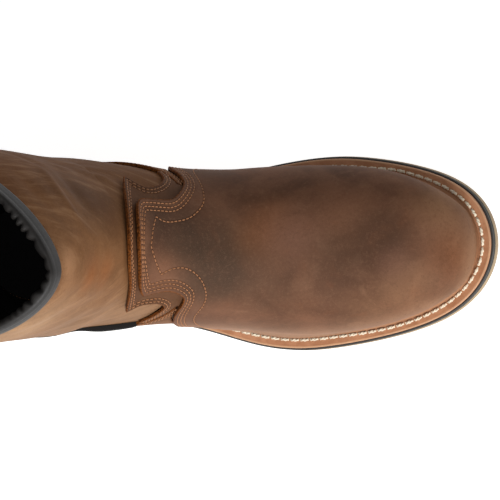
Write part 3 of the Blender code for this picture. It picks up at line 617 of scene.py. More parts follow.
# Soft folds of the leather: points in the boot's own millimetres, width, height
FOLDS = [
    ([(96.8, 43.1, 176.1), (104, 38, 193), (116.2, 29.2, 205), (123.3, 21.3, 209), (129.2, 13, 207.9),
      (133.1, 5.5, 199.7), (135.2, 0.5, 184)], 3.4, 1),
    ([(100.6, 41.5, 161), (110, 36, 178), (118.3, 29.3, 187), (126, 21, 190), (132, 12, 184)], 5.5, -1),
    ([(96, 41, 214), (109, 33, 224), (121, 22, 226), (130, 8, 218)], 5, -0.7),
    ([(100.6, 41.5, 158.9), (108.7, 38.5, 143.7), (117.7, 35.4, 137.2), (126.6, 29.4, 139.9)], 3, 0.7),
    ([(80, 48, 192), (92, 44, 188), (106, 37, 192)], 4, -0.6),
    ([(82, 48, 160), (91.6, 45, 155.9), (104, 40, 150), (115.3, 34.9, 145.9)], 4.5, -0.8),
    ([(84, 47, 145), (96, 43, 138), (108, 38, 128), (118, 33, 118)], 4, 0.6),
    ([(96, -45, 240), (103.4, -42.4, 235.3), (121.5, -30.5, 215), (130.8, -21.5, 160)], 3.4, 0.6),
    ([(98, -44, 228), (107.8, -40.2, 219.3), (121.4, -30.3, 186.5), (128.3, -25.7, 147.9)], 3.8, -0.7),
    ([(96, -44, 198), (110, -38.7, 183), (122.9, -29.5, 160.6), (128, -25, 140)], 3.6, 0.6),
    ([(90, -45.5, 176), (102, -41, 164), (115, -34, 146), (123, -28, 132)], 4, -0.7),
    ([(86, -46, 150), (98, -42, 140), (110, -36, 126), (118, -31, 116)], 3.6, 0.5),
    ([(132.9, -4, 236), (135, -8, 210), (135, -11, 178), (136, -11, 160)], 5, -0.5),
    ([(130.5, -19, 232), (133, -17, 205), (132.6, -17.3, 172)], 4, 0.5),
    ([(20, 30, 200), (10, 12, 176), (10, -6, 168), (18, -26, 180)], 6, -0.9),
    ([(24, 33, 176), (11, 14, 154), (10.5, -8, 150), (20, -28, 162)], 5, 0.7),
    ([(26, 36, 150), (12, 15, 132), (11, -9, 128), (22, -31, 140)], 6, -0.9),
    ([(40, 42, 205), (50, 48, 180), (58, 50, 150)], 6, 0.6),
    ([(42, -42, 215), (48, -46, 185), (54, -48, 150)], 6, 0.6),
    ([(162, 34, 84), (172, 22, 97), (178, 6, 101)], 8, -0.5),
    ([(196, 34, 73), (200, 16, 89), (201, -6, 91), (198, -26, 83)], 9, -0.45),
    ([(216, 36, 64), (220, 18, 82), (221, -4, 84), (216, -28, 76)], 8, 0.35),
]


def fold_lines():
    """The folds as fine lines, with their marks set down on the last."""
    cloud = LAST.table.reshape(-1, 3)
    for marks, width, height in FOLDS:
        set_down = [cloud[np.argmin(np.sum((cloud - mark) ** 2, axis=1))] for mark in marks]
        yield through(set_down, 2.0), width, height


FOLD_LINES = list(fold_lines())


def fold_depth(points):
    """Height of the folds at points, in millimetres."""
    depth = np.zeros(len(points))
    for line, width, height in FOLD_LINES:
        reach = 2.6 * width
        close = np.all((points > line.min(axis=0) - reach) & (points < line.max(axis=0) + reach), axis=1)
        near = points[close]
        apart = np.linalg.norm(near[:, None] - line[None], axis=2)
        first = apart.argmin(axis=1)
        away = apart[np.arange(len(near)), first]
        fade = np.sin(np.pi * (first + 0.5) / len(line)) ** 0.7
        depth[close] += height * fade * np.exp(-(away / width) ** 2)
    return depth


def lap_rise(p, away, lift):
    """How far a lap is lifted near its cut edge, high on the instep."""
    return lift * (1.0 - ease(away, 0.0, LAP_REACH)) * ease(p[:, 2], 96.0, 112.0)


def closed_up(line):
    """A line with its first point again at the end."""
    return np.vstack([line, line[:1]])


def leather(name, node, outlines, low, high, step, lift=0.0):
    """A closed piece of leather over the last, rounded at its cut edge and drawn in along its threads."""
    lines = THREAD_LINES.get(node, ())
    places = [resample(closed_up(o) * CHART, FINE_STEP)[:-1] / CHART for o in outlines]

    def within(at):
        return np.any([inside(at, o) for o in places], axis=0)

    edge = Near(np.vstack([on_last(closed_up(o)) for o in places]))
    extra = []
    for o in places:
        closed = closed_up(o)
        turn = np.sum(closed[:-1, 0] * closed[1:, 1] - closed[1:, 0] * closed[:-1, 1])
        for distance in (0.3, ROLL, FINE_STEP):
            moved = shift(closed, distance * (-1.0 if turn > 0.0 else 1.0))[:-1]
            keep = inside(moved, o) & (edge(LAST.frame(moved)[0]) > distance - 0.1)
            extra.append(moved[keep])
    rows = [Near(on_last(line)) for line in lines]
    for line in lines:
        fine = resample(line * CHART, FINE_STEP) / CHART
        for distance in (-THREAD_DIP, 0.0, THREAD_DIP):
            moved = shift(fine, distance) if distance else fine
            extra.append(moved[within(moved)])
    field = lattice(step)
    field = field[within(field)]
    at = LAST.frame(field)[0]
    free = edge(at) > FINE_STEP + 0.6 * step
    for row in rows:
        free &= row(at) > THREAD_DIP + 0.5 * step
    flat = [Vector(p) for p in np.vstack(places + extra + [field[free]]) * CHART]
    rims = []
    start = 0
    for o in places:
        count = len(o)
        rims.extend((start + i, start + (i + 1) % count) for i in range(count))
        start += count
    verts, _, cells, *_ = delaunay_2d_cdt(flat, rims, [], 0, 0.02)
    cut = np.array([tuple(v) for v in verts]) / CHART
    middles = np.array([cut[list(cell)].mean(axis=0) for cell in cells])
    faces = [list(cell) for cell, keep in zip(cells, within(middles)) if keep]
    p, n = LAST.frame(cut)
    away = edge(p)
    raised = lap_rise(p, away, lift)
    low_at = np.broadcast_to(low(p) if callable(low) else low, len(p)) + raised
    top = np.broadcast_to(high(p) if callable(high) else high, len(p)) + raised
    u = np.clip(away / ROLL, 0.0, 1.0)
    top = low_at + (top - low_at) * (0.62 + 0.38 * np.sqrt(1.0 - (1.0 - u) ** 2))
    thread = np.full(len(p), FAR)
    for row in rows:
        thread = np.minimum(thread, row(p))
    top = top - THREAD_PRESS * np.exp(-(thread / THREAD_SPREAD) ** 2)
    bend = fold_depth(p)
    inner = p + n * (low_at + bend)[:, None]
    outer = p + n * (top + bend)[:, None]
    return thicken(name, node, cut, inner, outer, faces, away, thread)


def thicken(name, node, places, inner, outer, faces, away, thread):
    """A closed solid between the two faces of a sheet, joined at the back seam."""
    where = np.full(len(places), -1)
    used = sorted({i for face in faces for i in face})
    keep = []
    on_seam = []
    for i in used:
        if abs(places[i, 1]) > 1.0 - 1e-5 and places[i, 0] > LAST.heel_end:
            same = [k for k in on_seam if np.abs(outer[keep[k]] - outer[i]).max() < 0.02]
            if same:
                where[i] = same[0]
                continue
            on_seam.append(len(keep))
        where[i] = len(keep)
        keep.append(i)
    count = len(keep)
    solid = []
    edges = {}
    for face in faces:
        ring = [int(where[i]) for i in face]
        solid.append([i + count for i in ring])
        solid.append(ring[::-1])
        for a, b in zip(ring, ring[1:] + ring[:1]):
            edges.setdefault((min(a, b), max(a, b)), []).append((a, b))
    for uses in edges.values():
        if len(uses) == 1:
            a, b = uses[0]
            solid.append([a, b, b + count, a + count][::-1])
    a, b, c = (keep[i - count] for i in solid[0][:3])
    if np.cross(outer[b] - outer[a], outer[c] - outer[a]) @ (outer[a] - inner[a]) < 0.0:
        solid = [f[::-1] for f in solid]
    away, thread, run, turn = (value[keep] for value in (away, thread, places[:, 0], places[:, 1]))
    return piece(name, np.vstack([inner[keep], outer[keep]]), solid, node=node, sharp=50.0,
                 edge=np.r_[away * 0.0, away], thread=np.r_[thread, thread],
                 run=np.r_[run, run], turn=np.r_[turn, turn])


def border(start, stop, side):
    """Places just above the sole edge, from start to stop."""
    count = max(2, int(abs(stop - start) / 2.0) + 1)
    return np.c_[np.linspace(start, stop, count), np.full(count, side * SOLE_SHARE)]


def quarter_edge(side):
    """Top edge of the quarter from the vamp to the back seam, and its side view."""
    flat = through(QUARTER_TOP_EDGE[side] + [(8.6, QUARTER_BACK_HEIGHT)], 2.0)
    places = np.array([LAST.from_side(x, z, side) for x, z in flat[:-1]])
    return np.vstack([places, [BACK_ALONG, side]]), flat


def back_along():
    """Place of the quarter's top edge in the run of sections, at the back seam."""
    t = np.linspace(LAST.heel_end, LAST.end, 400)
    return float(np.interp(QUARTER_BACK_HEIGHT, LAST.sections(t)[:, 1], t))


BACK_ALONG = back_along()
VAMP_LINE = seam(VAMP_EDGE, 1.0)
SADDLE_LINE = seam(SADDLE_EDGE, 1.0)
SCROLL_LINE = seam(VAMP_SCROLL, 1.0)
QUARTER_LINES = {side: quarter_edge(side) for side in (1, -1)}
# Lines of thread: three along the vamp's edge and a free scroll, two along the saddle and each side's quarter
THREAD_LINES = {
    "vamp": [parallel(VAMP_LINE, d) for d in VAMP_ROWS] + [SCROLL_LINE],
    "saddle": [parallel(SADDLE_LINE, d) for d in SADDLE_ROWS],
    "quarter": [parallel(QUARTER_LINES[side][0][:-6], -d * side) for side in (1, -1) for d in QUARTER_ROWS],
}


def vamp_low(p):
    """Inner face of the vamp, which lies over the saddle along the scrolled edge."""
    scroll = Near(on_last(seam(VAMP_EDGE[3:-3], 1.0), 1.0))
    return GAP + SADDLE_TOP * (1.0 - ease(scroll(p), LAP, LAP + 14.0))


def outer_waist(p):
    """One on the outer side behind the ball of the foot, where the thread runs close to the leather."""
    return ease(-p[:, 1], 0.0, 12.0) * (1.0 - ease(p[:, 0], 205.0, 262.0))


def inner_waist(p):
    """One on the inner side behind the ball of the foot, where the welt is hidden under the leather."""
    return ease(p[:, 1], 0.0, 12.0) * (1.0 - ease(p[:, 0], 226.0, 250.0))


def vamp_high(p):
    """Outer face of the vamp: thicker at its lap, flared where it is turned out on the welt."""
    whole = Near(on_last(VAMP_LINE, 1.0))
    foot = above_sole(p)
    waist = inner_waist(p) + outer_waist(p)
    flare = FLARE * (1.0 - 0.8 * waist) * np.exp(-(np.maximum(foot, 0.0) / FLARE_RISE) ** 1.5)
    return VAMP_LAP_TOP - (VAMP_LAP_TOP - VAMP_TOP) * ease(whole(p), 14.0, 40.0) + flare


def make_vamp():
    """The front piece; the finish is told where its foot is turned out, for a painted highlight there."""
    toe = LAST.start + 1.4
    medial = border(toe, VAMP_LINE[0, 0], 1)[:-1]
    lateral = border(VAMP_LINE[-1, 0], toe, -1)
    front = np.c_[np.full(9, toe), np.linspace(-0.9, 0.9, 9)]
    outline = np.vstack([medial, VAMP_LINE[:-1], lateral, front])
    obj = leather("vamp_leather", "vamp", [outline], vamp_low, vamp_high, step=2.1, lift=LAP_LIFT)
    tall = above_sole(points_of(obj))
    away = np.empty(len(tall), np.float32)
    obj.data.attributes["edge"].data.foreach_get("value", away)
    mark(obj.data, "edge", away + FAR * (1.0 - ease(tall, 4.0, 10.0)))
    # The foot next to the welt is marked for a painted highlight.
    mark(obj.data, "lip_highlight", 1.0 - ease(tall, 1.0, 7.0))
    return obj


def make_saddle():
    """The strip over the instep, from its scrolled edge to the edge hidden under the vamp."""
    ends = {}
    for side in (1, -1):
        top, _ = QUARTER_LINES[side]
        over = shift(top[:-1], SEAM_CLEAR * side)
        ends[side] = over[over[:, 0] < abs(SADDLE_LINE[0 if side > 0 else -1, 0]) - 2.0]
    hidden = seam(SADDLE_HIDDEN, 1.5)
    outline = np.vstack([SADDLE_LINE, ends[-1][::-1], hidden, ends[1]])
    return leather("saddle_leather", "saddle", [outline], GAP, SADDLE_TOP, step=2.0, lift=LAP_LIFT)


def make_quarter():
    """The heel piece in two halves that are joined at the back seam."""
    rear = shift(VAMP_LINE, -SEAM_CLEAR)
    middle = len(VAMP_LINE) // 2
    outlines = []
    for side in (1, -1):
        top, _ = QUARTER_LINES[side]
        part = rear[:middle] if side > 0 else rear[middle:][::-1]
        part = part[side * part[:, 1] > QUARTER_VAMP_SHARE[side]]
        back = np.linspace(BACK_ALONG, LAST.heel_end + 1.0, 40)
        sole = border(LAST.heel_end - 2.0, part[0, 0], side)[:-1]
        outlines.append(np.vstack([top[:-1], np.c_[back, np.full(40, float(side))], sole, part]))
    return leather("quarter_leather", "quarter", outlines, GAP, QUARTER_TOP, step=2.4)


def make_strip(name, node, side):
    """A dark strip from the collar to the quarter, thin at the top, thicker and paler along its foot, the
    paler grey being a painted highlight.
    """
    _, edge = QUARTER_LINES[side]
    edge = edge[np.argsort(edge[:, 0])]
    rows = np.array(STRIP_EDGES[side])
    ends = np.array(STRIP_FOOT[side])
    foot = np.interp(ends, edge[:, 0], edge[:, 1]) + STRIP_CLEAR
    rear, front = (through(np.vstack([rows[:, [k + 1, 0]], [ends[k], foot[k]]]), 3.0) for k in (0, 1))
    base = np.linspace(ends[1], ends[0], 12)[1:-1][::-1]
    base = np.c_[base, np.interp(base, edge[:, 0], edge[:, 1]) + STRIP_CLEAR]
    outline = np.array([LAST.from_side(x, z, side) for x, z in np.vstack([rear, base, front[::-1]])])

    def high(p):
        swell = ease(p[:, 0], 86.0, 102.0) * (1.0 - ease(p[:, 2], 99.0, 112.0))
        thin = 0.6 * (1.0 - ease(p[:, 0], 70.0, 90.0))
        return STRIP_TOP - thin + (STRIP_FOOT_TOP[side] - STRIP_TOP) * swell

    obj = leather(name, node, [outline], GAP, high, step=2.2)
    at = points_of(obj)
    foot = np.interp(at[:, 0], base[:, 0], base[:, 1])
    top = np.interp(at[:, 0], front[:, 0], front[:, 1])
    # The lower half of the lateral foot is marked for a painted highlight: a paler grey where its raised edge
    # catches the light.
    lower = 1.0 - ease((at[:, 2] - foot) / np.maximum(top - foot, 1.0), 0.45, 0.6)
    mark(obj.data, "border", lower * ease(at[:, 0], 84.0, 92.0))
    return obj


def shell(name, node, start, outside, inside_depth, spacing, columns):
    """A closed wall that follows the last up to the collar, open to the sole in front of the heel."""
    foot = np.linspace(start, LAST.heel_end - 1e-3, int((LAST.heel_end - start) / spacing))
    top = LAST.end if outside == 0.0 else LAST.end - LINING_DROP
    shaft = np.linspace(LAST.heel_end, top, int((top - LAST.heel_end) / spacing))
    along = np.r_[foot, shaft]
    around = np.linspace(1.0, -1.0, columns)
    places = np.array([(t, f) for t in along for f in around])
    p, n = LAST.frame(places)
    bend = fold_depth(p)
    layers = []
    for depth in (inside_depth, outside):
        q = p + n * (depth + bend)[:, None]
        rim = (np.abs(places[:, 1]) == 1.0) & (places[:, 0] < LAST.heel_end)
        rim |= places[:, 0] == LAST.start
        q[rim, 2] = np.maximum(q[rim, 2], p[rim, 2])
        layers.append(q)
    faces = []
    for i in range(len(along) - 1):
        row = i * columns + np.arange(columns - 1)
        faces.extend(np.c_[row, row + columns, row + columns + 1, row + 1][:, ::-1].tolist())
    return thicken(name, node, places, *layers, faces, LAST.end - places[:, 0], np.full(len(p), FAR))


def make_collar():
    """The padded binding rolls over the top edge; its inner edge is gathered at the front."""
    count = COLLAR_STEPS
    around = np.linspace(1.0, -1.0, count, endpoint=False)
    run = np.linspace(LAST.end - COLLAR_RUN, LAST.end, COLLAR_ROWS)
    grid = np.array([(t, f) for f in around for t in run])
    p, n = (values.reshape(count, COLLAR_ROWS, 3) for values in LAST.frame(grid))
    gather_run = run_length(closed_up(p[:, -1]))[:-1]
    rings = []
    for offset, rise in resample(closed_up(np.array(COLLAR_PROFILE)), 0.55)[:-1]:
        height = COLLAR_HEIGHT + min(rise, 0.0)
        points = np.zeros((count, 3))
        for i in range(count):
            tall = p[i, :, 2]
            here = [np.interp(height, tall, p[i, :, k]) for k in range(3)]
            out = np.array([np.interp(height, tall, n[i, :, k]) for k in (0, 1)] + [0.0])
            out /= np.linalg.norm(out)
            pucker = gather(gather_run[i], around[i], offset, rise)
            points[i] = here + out * (offset + pucker)
            points[i, 2] -= 0.6 * pucker
        points[:, 2] += max(rise, 0.0)
        rings.append(points)
    obj = piece("collar_padding", np.vstack(rings), ring_faces(len(rings), count, True), node="collar")
    return obj


def gather(run, around, offset, rise):
    """Puckers of the padding, deepest on its inner side and at the front."""
    inner = float(ease(-offset, -0.2, 2.8)) * float(ease(rise, -17.0, -4.0))
    front = float(np.exp(-(abs(around - 0.06) / 0.26) ** 3))
    beat = math.pi * run / 6.0 + 1.4 * math.sin(run / 11.0) + 0.9 * math.sin(run / 4.7)
    lobe = abs(math.sin(beat)) ** 0.8 * (0.85 + 0.4 * math.sin(run / 7.3)) - 0.5
    return -inner * (0.03 + 1.9 * front) * lobe


def ring(inset, height, shares):
    """Closed ring of the sole: heel end, medial side, toe end, lateral side."""
    medial, lateral = halves(sole_line(inset if callable(inset) else lambda x: inset))
    heel = medial[0]
    toe = medial[-1]
    x = heel[0] + (toe[0] - heel[0]) * shares
    left = np.c_[x, np.interp(x, medial[:, 0], medial[:, 1])]
    right = np.c_[x, np.interp(x, lateral[:, 0], lateral[:, 1])]
    line = np.vstack([heel, left, toe, right[::-1]])
    return np.c_[line, height(line[:, 0])]


def ring_faces(rings, count, closed=False):
    """Faces between neighbouring rings."""
    faces = []
    i = np.arange(count)
    j = (i + 1) % count
    for r in range(rings if closed else rings - 1):
        a = r * count
        b = (r + 1) % rings * count
        faces.extend(np.c_[a + i, a + j, b + j, b + i].tolist())
    return faces


def ladder(start, count):
    """Cap faces between the two sides of a ring of pairs."""
    pairs = (count - 2) // 2
    faces = [(start, start + 1, start + count - 1)]
    for i in range(1, pairs):
        faces.append((start + i, start + i + 1, start + count - i - 1, start + count - i))
    faces.append((start + pairs, start + pairs + 1, start + pairs + 2))
    return faces


EVEN = 0.5 - 0.5 * np.cos(np.pi * np.arange(1, 150) / 150)


def layer_z(drop):
    """Height of a layer of the sole at a drop under the feather line."""
    return lambda x: feather_z(x) - drop


def sole_piece(name, node, profile, loop=False, rims=()):
    """A layer of the sole through rings of inset and drop under the feather line, a loop or capped; rings
    listed in rims are marked for a painted highlight.
    """
    rings = [ring(inset, layer_z(drop), EVEN) for inset, drop in profile]
    count = len(rings[0])
    faces = ring_faces(len(rings), count, loop)
    if not loop:
        faces += [f[::-1] for f in ladder(0, count)] + ladder((len(rings) - 1) * count, count)
    rim = np.repeat([1.0 if k in rims else 0.0 for k in range(len(rings))], count)
    points = np.vstack(rings)
    return piece(name, points, outward(points, faces), node=node, sharp=40.0, rim=rim)


def insole_inset(more):
    """Inset of the pad inside the wall of the upper."""
    return lambda x: feather_inset(x) + WALL + INSOLE_CLEAR + more


def outward(points, faces):
    """Turn all faces of a closed solid over if they face inwards."""
    volume = 0.0
    for face in faces:
        a = points[face[0]]
        for b, c in zip(face[1:-1], face[2:]):
            volume += a @ np.cross(points[b], points[c])
    return faces if volume > 0.0 else [list(f)[::-1] for f in faces]


def tread_z(x):
    """Underside of the sole without grooves: flat heel, breast, arch, flat ball, toe spring."""
    x = np.asarray(x, float)
    arch = 17.0 * (1.0 - ease(x, 90.0, 178.0))
    spring = 15.5 * np.clip((x - 225.0) / 77.0, 0.0, 1.2) ** 2
    return np.where(x < HEEL_BREAST, 0.0, arch + spring)


def groove_places():
    """Where the grooves cross the heel and the ball."""
    return [20.0, 42.0, 64.0] + list(np.arange(156.0, 292.0, LUG_PITCH + GROOVE))


def lug_z(x):
    """Underside of the sole with its grooves."""
    x = np.asarray(x, float)
    near = np.min(np.abs(x[:, None] - np.array(groove_places())[None]), axis=1)
    return tread_z(x) + LUG_DEPTH * (1.0 - ease(near, GROOVE / 2 - 0.75, GROOVE / 2))


def make_outsole():
    """The rubber sole: its side from the lugs up, a flat top, and grooves across and along underneath."""
    places = [HEEL_BREAST - 1.5, HEEL_BREAST + 1.5]
    for x in groove_places():
        places.extend(x + side * GROOVE / 2 - side * k * 0.25 for side in (1, -1) for k in range(4))
    places = np.array(places)
    even = SOLE_LENGTH * EVEN
    free = [x for x in even if np.abs(places - x).min() > 0.8]
    shares = np.sort(np.r_[places, free]) / SOLE_LENGTH
    rows = [
        ring(1.1, lug_z, shares),
        ring(0.5, lambda x: lug_z(x) + 0.35, shares),
        ring(0.15, lambda x: tread_z(x) + LUG_DEPTH + 0.4, shares),
        ring(0.0, lambda x: tread_z(x) + LUG_DEPTH + 1.0, shares),
        ring(0.2, layer_z(BALL_HEIGHT - OUTSOLE_THICK + 0.9), shares),
        ring(0.6, layer_z(BALL_HEIGHT - OUTSOLE_THICK), shares),
    ]
    count = len(rows[0])
    pairs = len(shares)
    faces = ring_faces(len(rows), count) + ladder((len(rows) - 1) * count, count)
    low = rows[0][1:pairs + 1]
    far = rows[0][pairs + 2:][::-1]
    middle = (low[:, 1] + far[:, 1]) / 2.0
    open_run = (low[:, 0] > 12.0) & (low[:, 0] < 288.0)
    high = np.where(open_run, tread_z(low[:, 0]) + LUG_DEPTH, low[:, 2])
    half = CENTRE_GROOVE / 2.0
    points = list(rows)
    for lean, z in ((half + 0.5, low[:, 2]), (half, high), (-half, high), (-half - 0.5, low[:, 2])):
        points.append(np.c_[low[:, 0], middle + lean, z])
    start = len(rows) * count
    columns = [1 + np.arange(pairs)] + [start + k * pairs + np.arange(pairs) for k in range(4)]
    columns.append(count - 1 - np.arange(pairs))
    for left, right in zip(columns[:-1], columns[1:]):
        faces.extend((left[i], right[i], right[i + 1], left[i + 1]) for i in range(pairs - 1))
        faces.append((0, right[0], left[0]))
        faces.append((pairs + 1, left[-1], right[-1]))
    points = np.vstack(points)
    return piece("outsole_rubber", points, outward(points, faces), node="outsole", sharp=35.0)


def welt_row(x):
    """Inset of the welt's thread from the sole edge."""
    return feather_inset(x) - VAMP_TOP - WELT_ROW


def threads(name, slot, runs, pitch, length, radius, plies=1, dip=0.3, rings=9, sides=6):
    """Joined stitches along lines in space; each run is its points and outward normals."""
    u = np.linspace(0.0, 1.0, rings)
    angle = np.linspace(0.0, 2.0 * math.pi, sides, endpoint=False)
    arch = np.sin(np.pi * u) ** 0.45
    thick = radius * (0.45 + 0.55 * arch)
    tube_faces = np.array(ring_faces(rings, sides))
    points = []
    faces = []
    total = 0
    for p, n in runs:
        run = run_length(p)
        count = max(1, int(run[-1] / pitch))
        real = run[-1] / count
        for k in range(count):
            at = k * real + (real - length * real / pitch) / 2.0 + u * length * real / pitch
            centre = follow(p, run, at)
            up = unit(follow(n, run, at))
            side = np.cross(unit(np.gradient(centre, axis=0)), up)
            centre = centre + up * ((arch - 1.0) * dip)[:, None]
            for ply in range(plies):
                line = centre
                slim = thick
                if plies > 1:
                    turn = 2.0 * math.pi * (u * TWIST + ply / plies)
                    line = centre + side * (np.cos(turn) * radius * 0.34)[:, None]
                    line = line + up * (np.sin(turn) * radius * 0.26)[:, None]
                    slim = thick * 0.68
                tube = (line[:, None] + side[:, None] * (np.cos(angle) * slim[:, None])[..., None]
                        + up[:, None] * (np.sin(angle) * slim[:, None] * 0.85)[..., None])
                points.append(tube.reshape(-1, 3))
                faces.extend((tube_faces + total).tolist())
                faces.append((total + np.arange(sides))[::-1].tolist())
                faces.append((total + (rings - 1) * sides + np.arange(sides)).tolist())
                total += rings * sides
    points = np.vstack(points)
    return piece(name, points, outward(points, faces), slot=slot)


def thread_run(line, height, lift, gap):
    """Points and normals of a row of thread over the leather."""
    fine = resample(line * CHART, 0.4) / CHART
    p, n = LAST.frame(fine)
    tall = height(p) if callable(height) else height
    rise = np.broadcast_to(tall, len(p)) + fold_depth(p) + lap_rise(p, gap, lift)
    return p + n * rise[:, None], n


def make_threads():
    """Rows of short stitches on the leather and twisted ones on the welt, in front of the heel."""
    for name, height, lift, gaps in (
            ("vamp", lambda p: vamp_high(p) - THREAD_SUNK, LAP_LIFT, VAMP_ROWS + (FAR,)),
            ("saddle", SADDLE_TOP - THREAD_SUNK, LAP_LIFT, SADDLE_ROWS),
            ("quarter", QUARTER_TOP - THREAD_SUNK, 0.0, QUARTER_ROWS * 2)):
        runs = [thread_run(line, height, lift, gap) for line, gap in zip(THREAD_LINES[name], gaps)]
        threads(name + "_thread", name, runs, STITCH_PITCH, STITCH_LENGTH, THREAD)
    medial, lateral = halves(sole_line(welt_row))
    front = np.vstack([medial[medial[:, 0] > HEEL_BREAST], lateral[lateral[:, 0] > HEEL_BREAST][::-1]])
    front = resample(front, 0.4)
    front[:, 1] += OUTER_SHIFT * outer_waist(front) - INNER_SHIFT * inner_waist(front)
    p = np.c_[front, feather_z(front[:, 0]) - SOLE_GAP + WELT_ROW_RISE]
    threads("welt_thread", "welt", [(p, np.tile((0.0, 0.0, 1.0), (len(p), 1)))],
            WELT_PITCH, WELT_STITCH, WELT_THREAD, plies=2, dip=0.7, rings=13)


class Value:
    """A socket of a finish, so that shader maths reads as an expression."""

    def __init__(self, finish, socket):
        self.finish = finish
        self.socket = socket

    def math(self, operation, first, second):
        return self.finish.node("ShaderNodeMath", {"operation": operation}, {0: first, 1: second})


# The signs +, -, * and ** between values and numbers
for sign, kind in (("add", "ADD"), ("sub", "SUBTRACT"), ("mul", "MULTIPLY"), ("pow", "POWER")):
    setattr(Value, f"__{sign}__", lambda self, other, kind=kind: self.math(kind, self, other))
    setattr(Value, f"__r{sign}__", lambda self, other, kind=kind: self.math(kind, other, self))


class Finish:
    """A material whose nodes are made by expressions."""

    def __init__(self, name, **constants):
        self.material = bpy.data.materials.new(name)
        self.material.use_nodes = True
        self.tree = self.material.node_tree
        self.shader = self.tree.nodes["Principled BSDF"]
        for key, value in constants.items():
            self.shader.inputs[key.replace("_", " ")].default_value = value

    def node(self, kind, settings=None, inputs=None, output=0):
        made = self.tree.nodes.new(kind)
        for key, value in (settings or {}).items():
            setattr(made, key, value)
        for key, value in (inputs or {}).items():
            self.feed(made.inputs[key], value)
        return Value(self, made.outputs[output])

    def feed(self, socket, value):
        if isinstance(value, Value):
            self.tree.links.new(value.socket, socket)
        else:
            socket.default_value = value

    def place(self, turn=(0.0, 0.0, 0.0), stretch=(1.0, 1.0, 1.0)):
        """Place on the boot in metres, turned and stretched."""
        at = self.node("ShaderNodeTexCoord", output="Object")
        return self.node("ShaderNodeMapping", {"vector_type": "TEXTURE"},
                         {"Vector": at, "Rotation": [math.radians(a) for a in turn], "Scale": stretch})

    def noise(self, size, detail=3.0, rough=0.5, place=None, warp=0.0):
        """Cloudy values from 0 to 1; size is that of one cloud in millimetres."""
        return self.node("ShaderNodeTexNoise", None, {"Vector": place or self.place(), "Scale": 1000.0 / size,
                         "Detail": detail, "Roughness": rough, "Distortion": warp})

    def step(self, value, low, high):
        """Soft step from 0 at low to 1 at high."""
        return self.node("ShaderNodeMapRange", {"interpolation_type": "SMOOTHSTEP"},
                         {"Value": value, "From Min": low, "From Max": high})

    def attribute(self, name):
        return self.node("ShaderNodeAttribute", {"attribute_name": name}, output="Fac")

    def mix(self, share, first, second):
        """Colours mixed by a share."""
        return self.node("ShaderNodeMix", {"data_type": "RGBA"}, {0: share, 6: first, 7: second}, 2)

    def patch(self, centre, reach):
        """A soft round patch at a place in the boot's own millimetres."""
        at = self.node("ShaderNodeTexCoord", output="Object")
        apart = self.node("ShaderNodeVectorMath", {"operation": "DISTANCE"},
                          {0: at, 1: metres(centre).tolist()}, "Value")
        return 1 - self.step(apart, 0.0, reach * MM)

    def finish_surface(self, colour, roughness, height, strength, depth):
        """Connect what changes over the surface."""
        bump = self.node("ShaderNodeBump", None,
                         {"Strength": strength, "Distance": depth * MM, "Height": height})
        for key, value in (("Base Color", colour), ("Roughness", roughness), ("Normal", bump)):
            self.feed(self.shader.inputs[key], value)

    def on(self, *objects):
        for obj in objects:
            obj.data.materials.clear()
            obj.data.materials.append(self.material)


def tone(red, green, blue):
    """A colour as it is seen, from 0 to 255 a channel."""
    seen = np.array([red, green, blue]) / 255.0
    linear = np.where(seen <= 0.04045, seen / 12.92, ((seen + 0.055) / 1.055) ** 2.4)
    return (*linear.tolist(), 1.0)


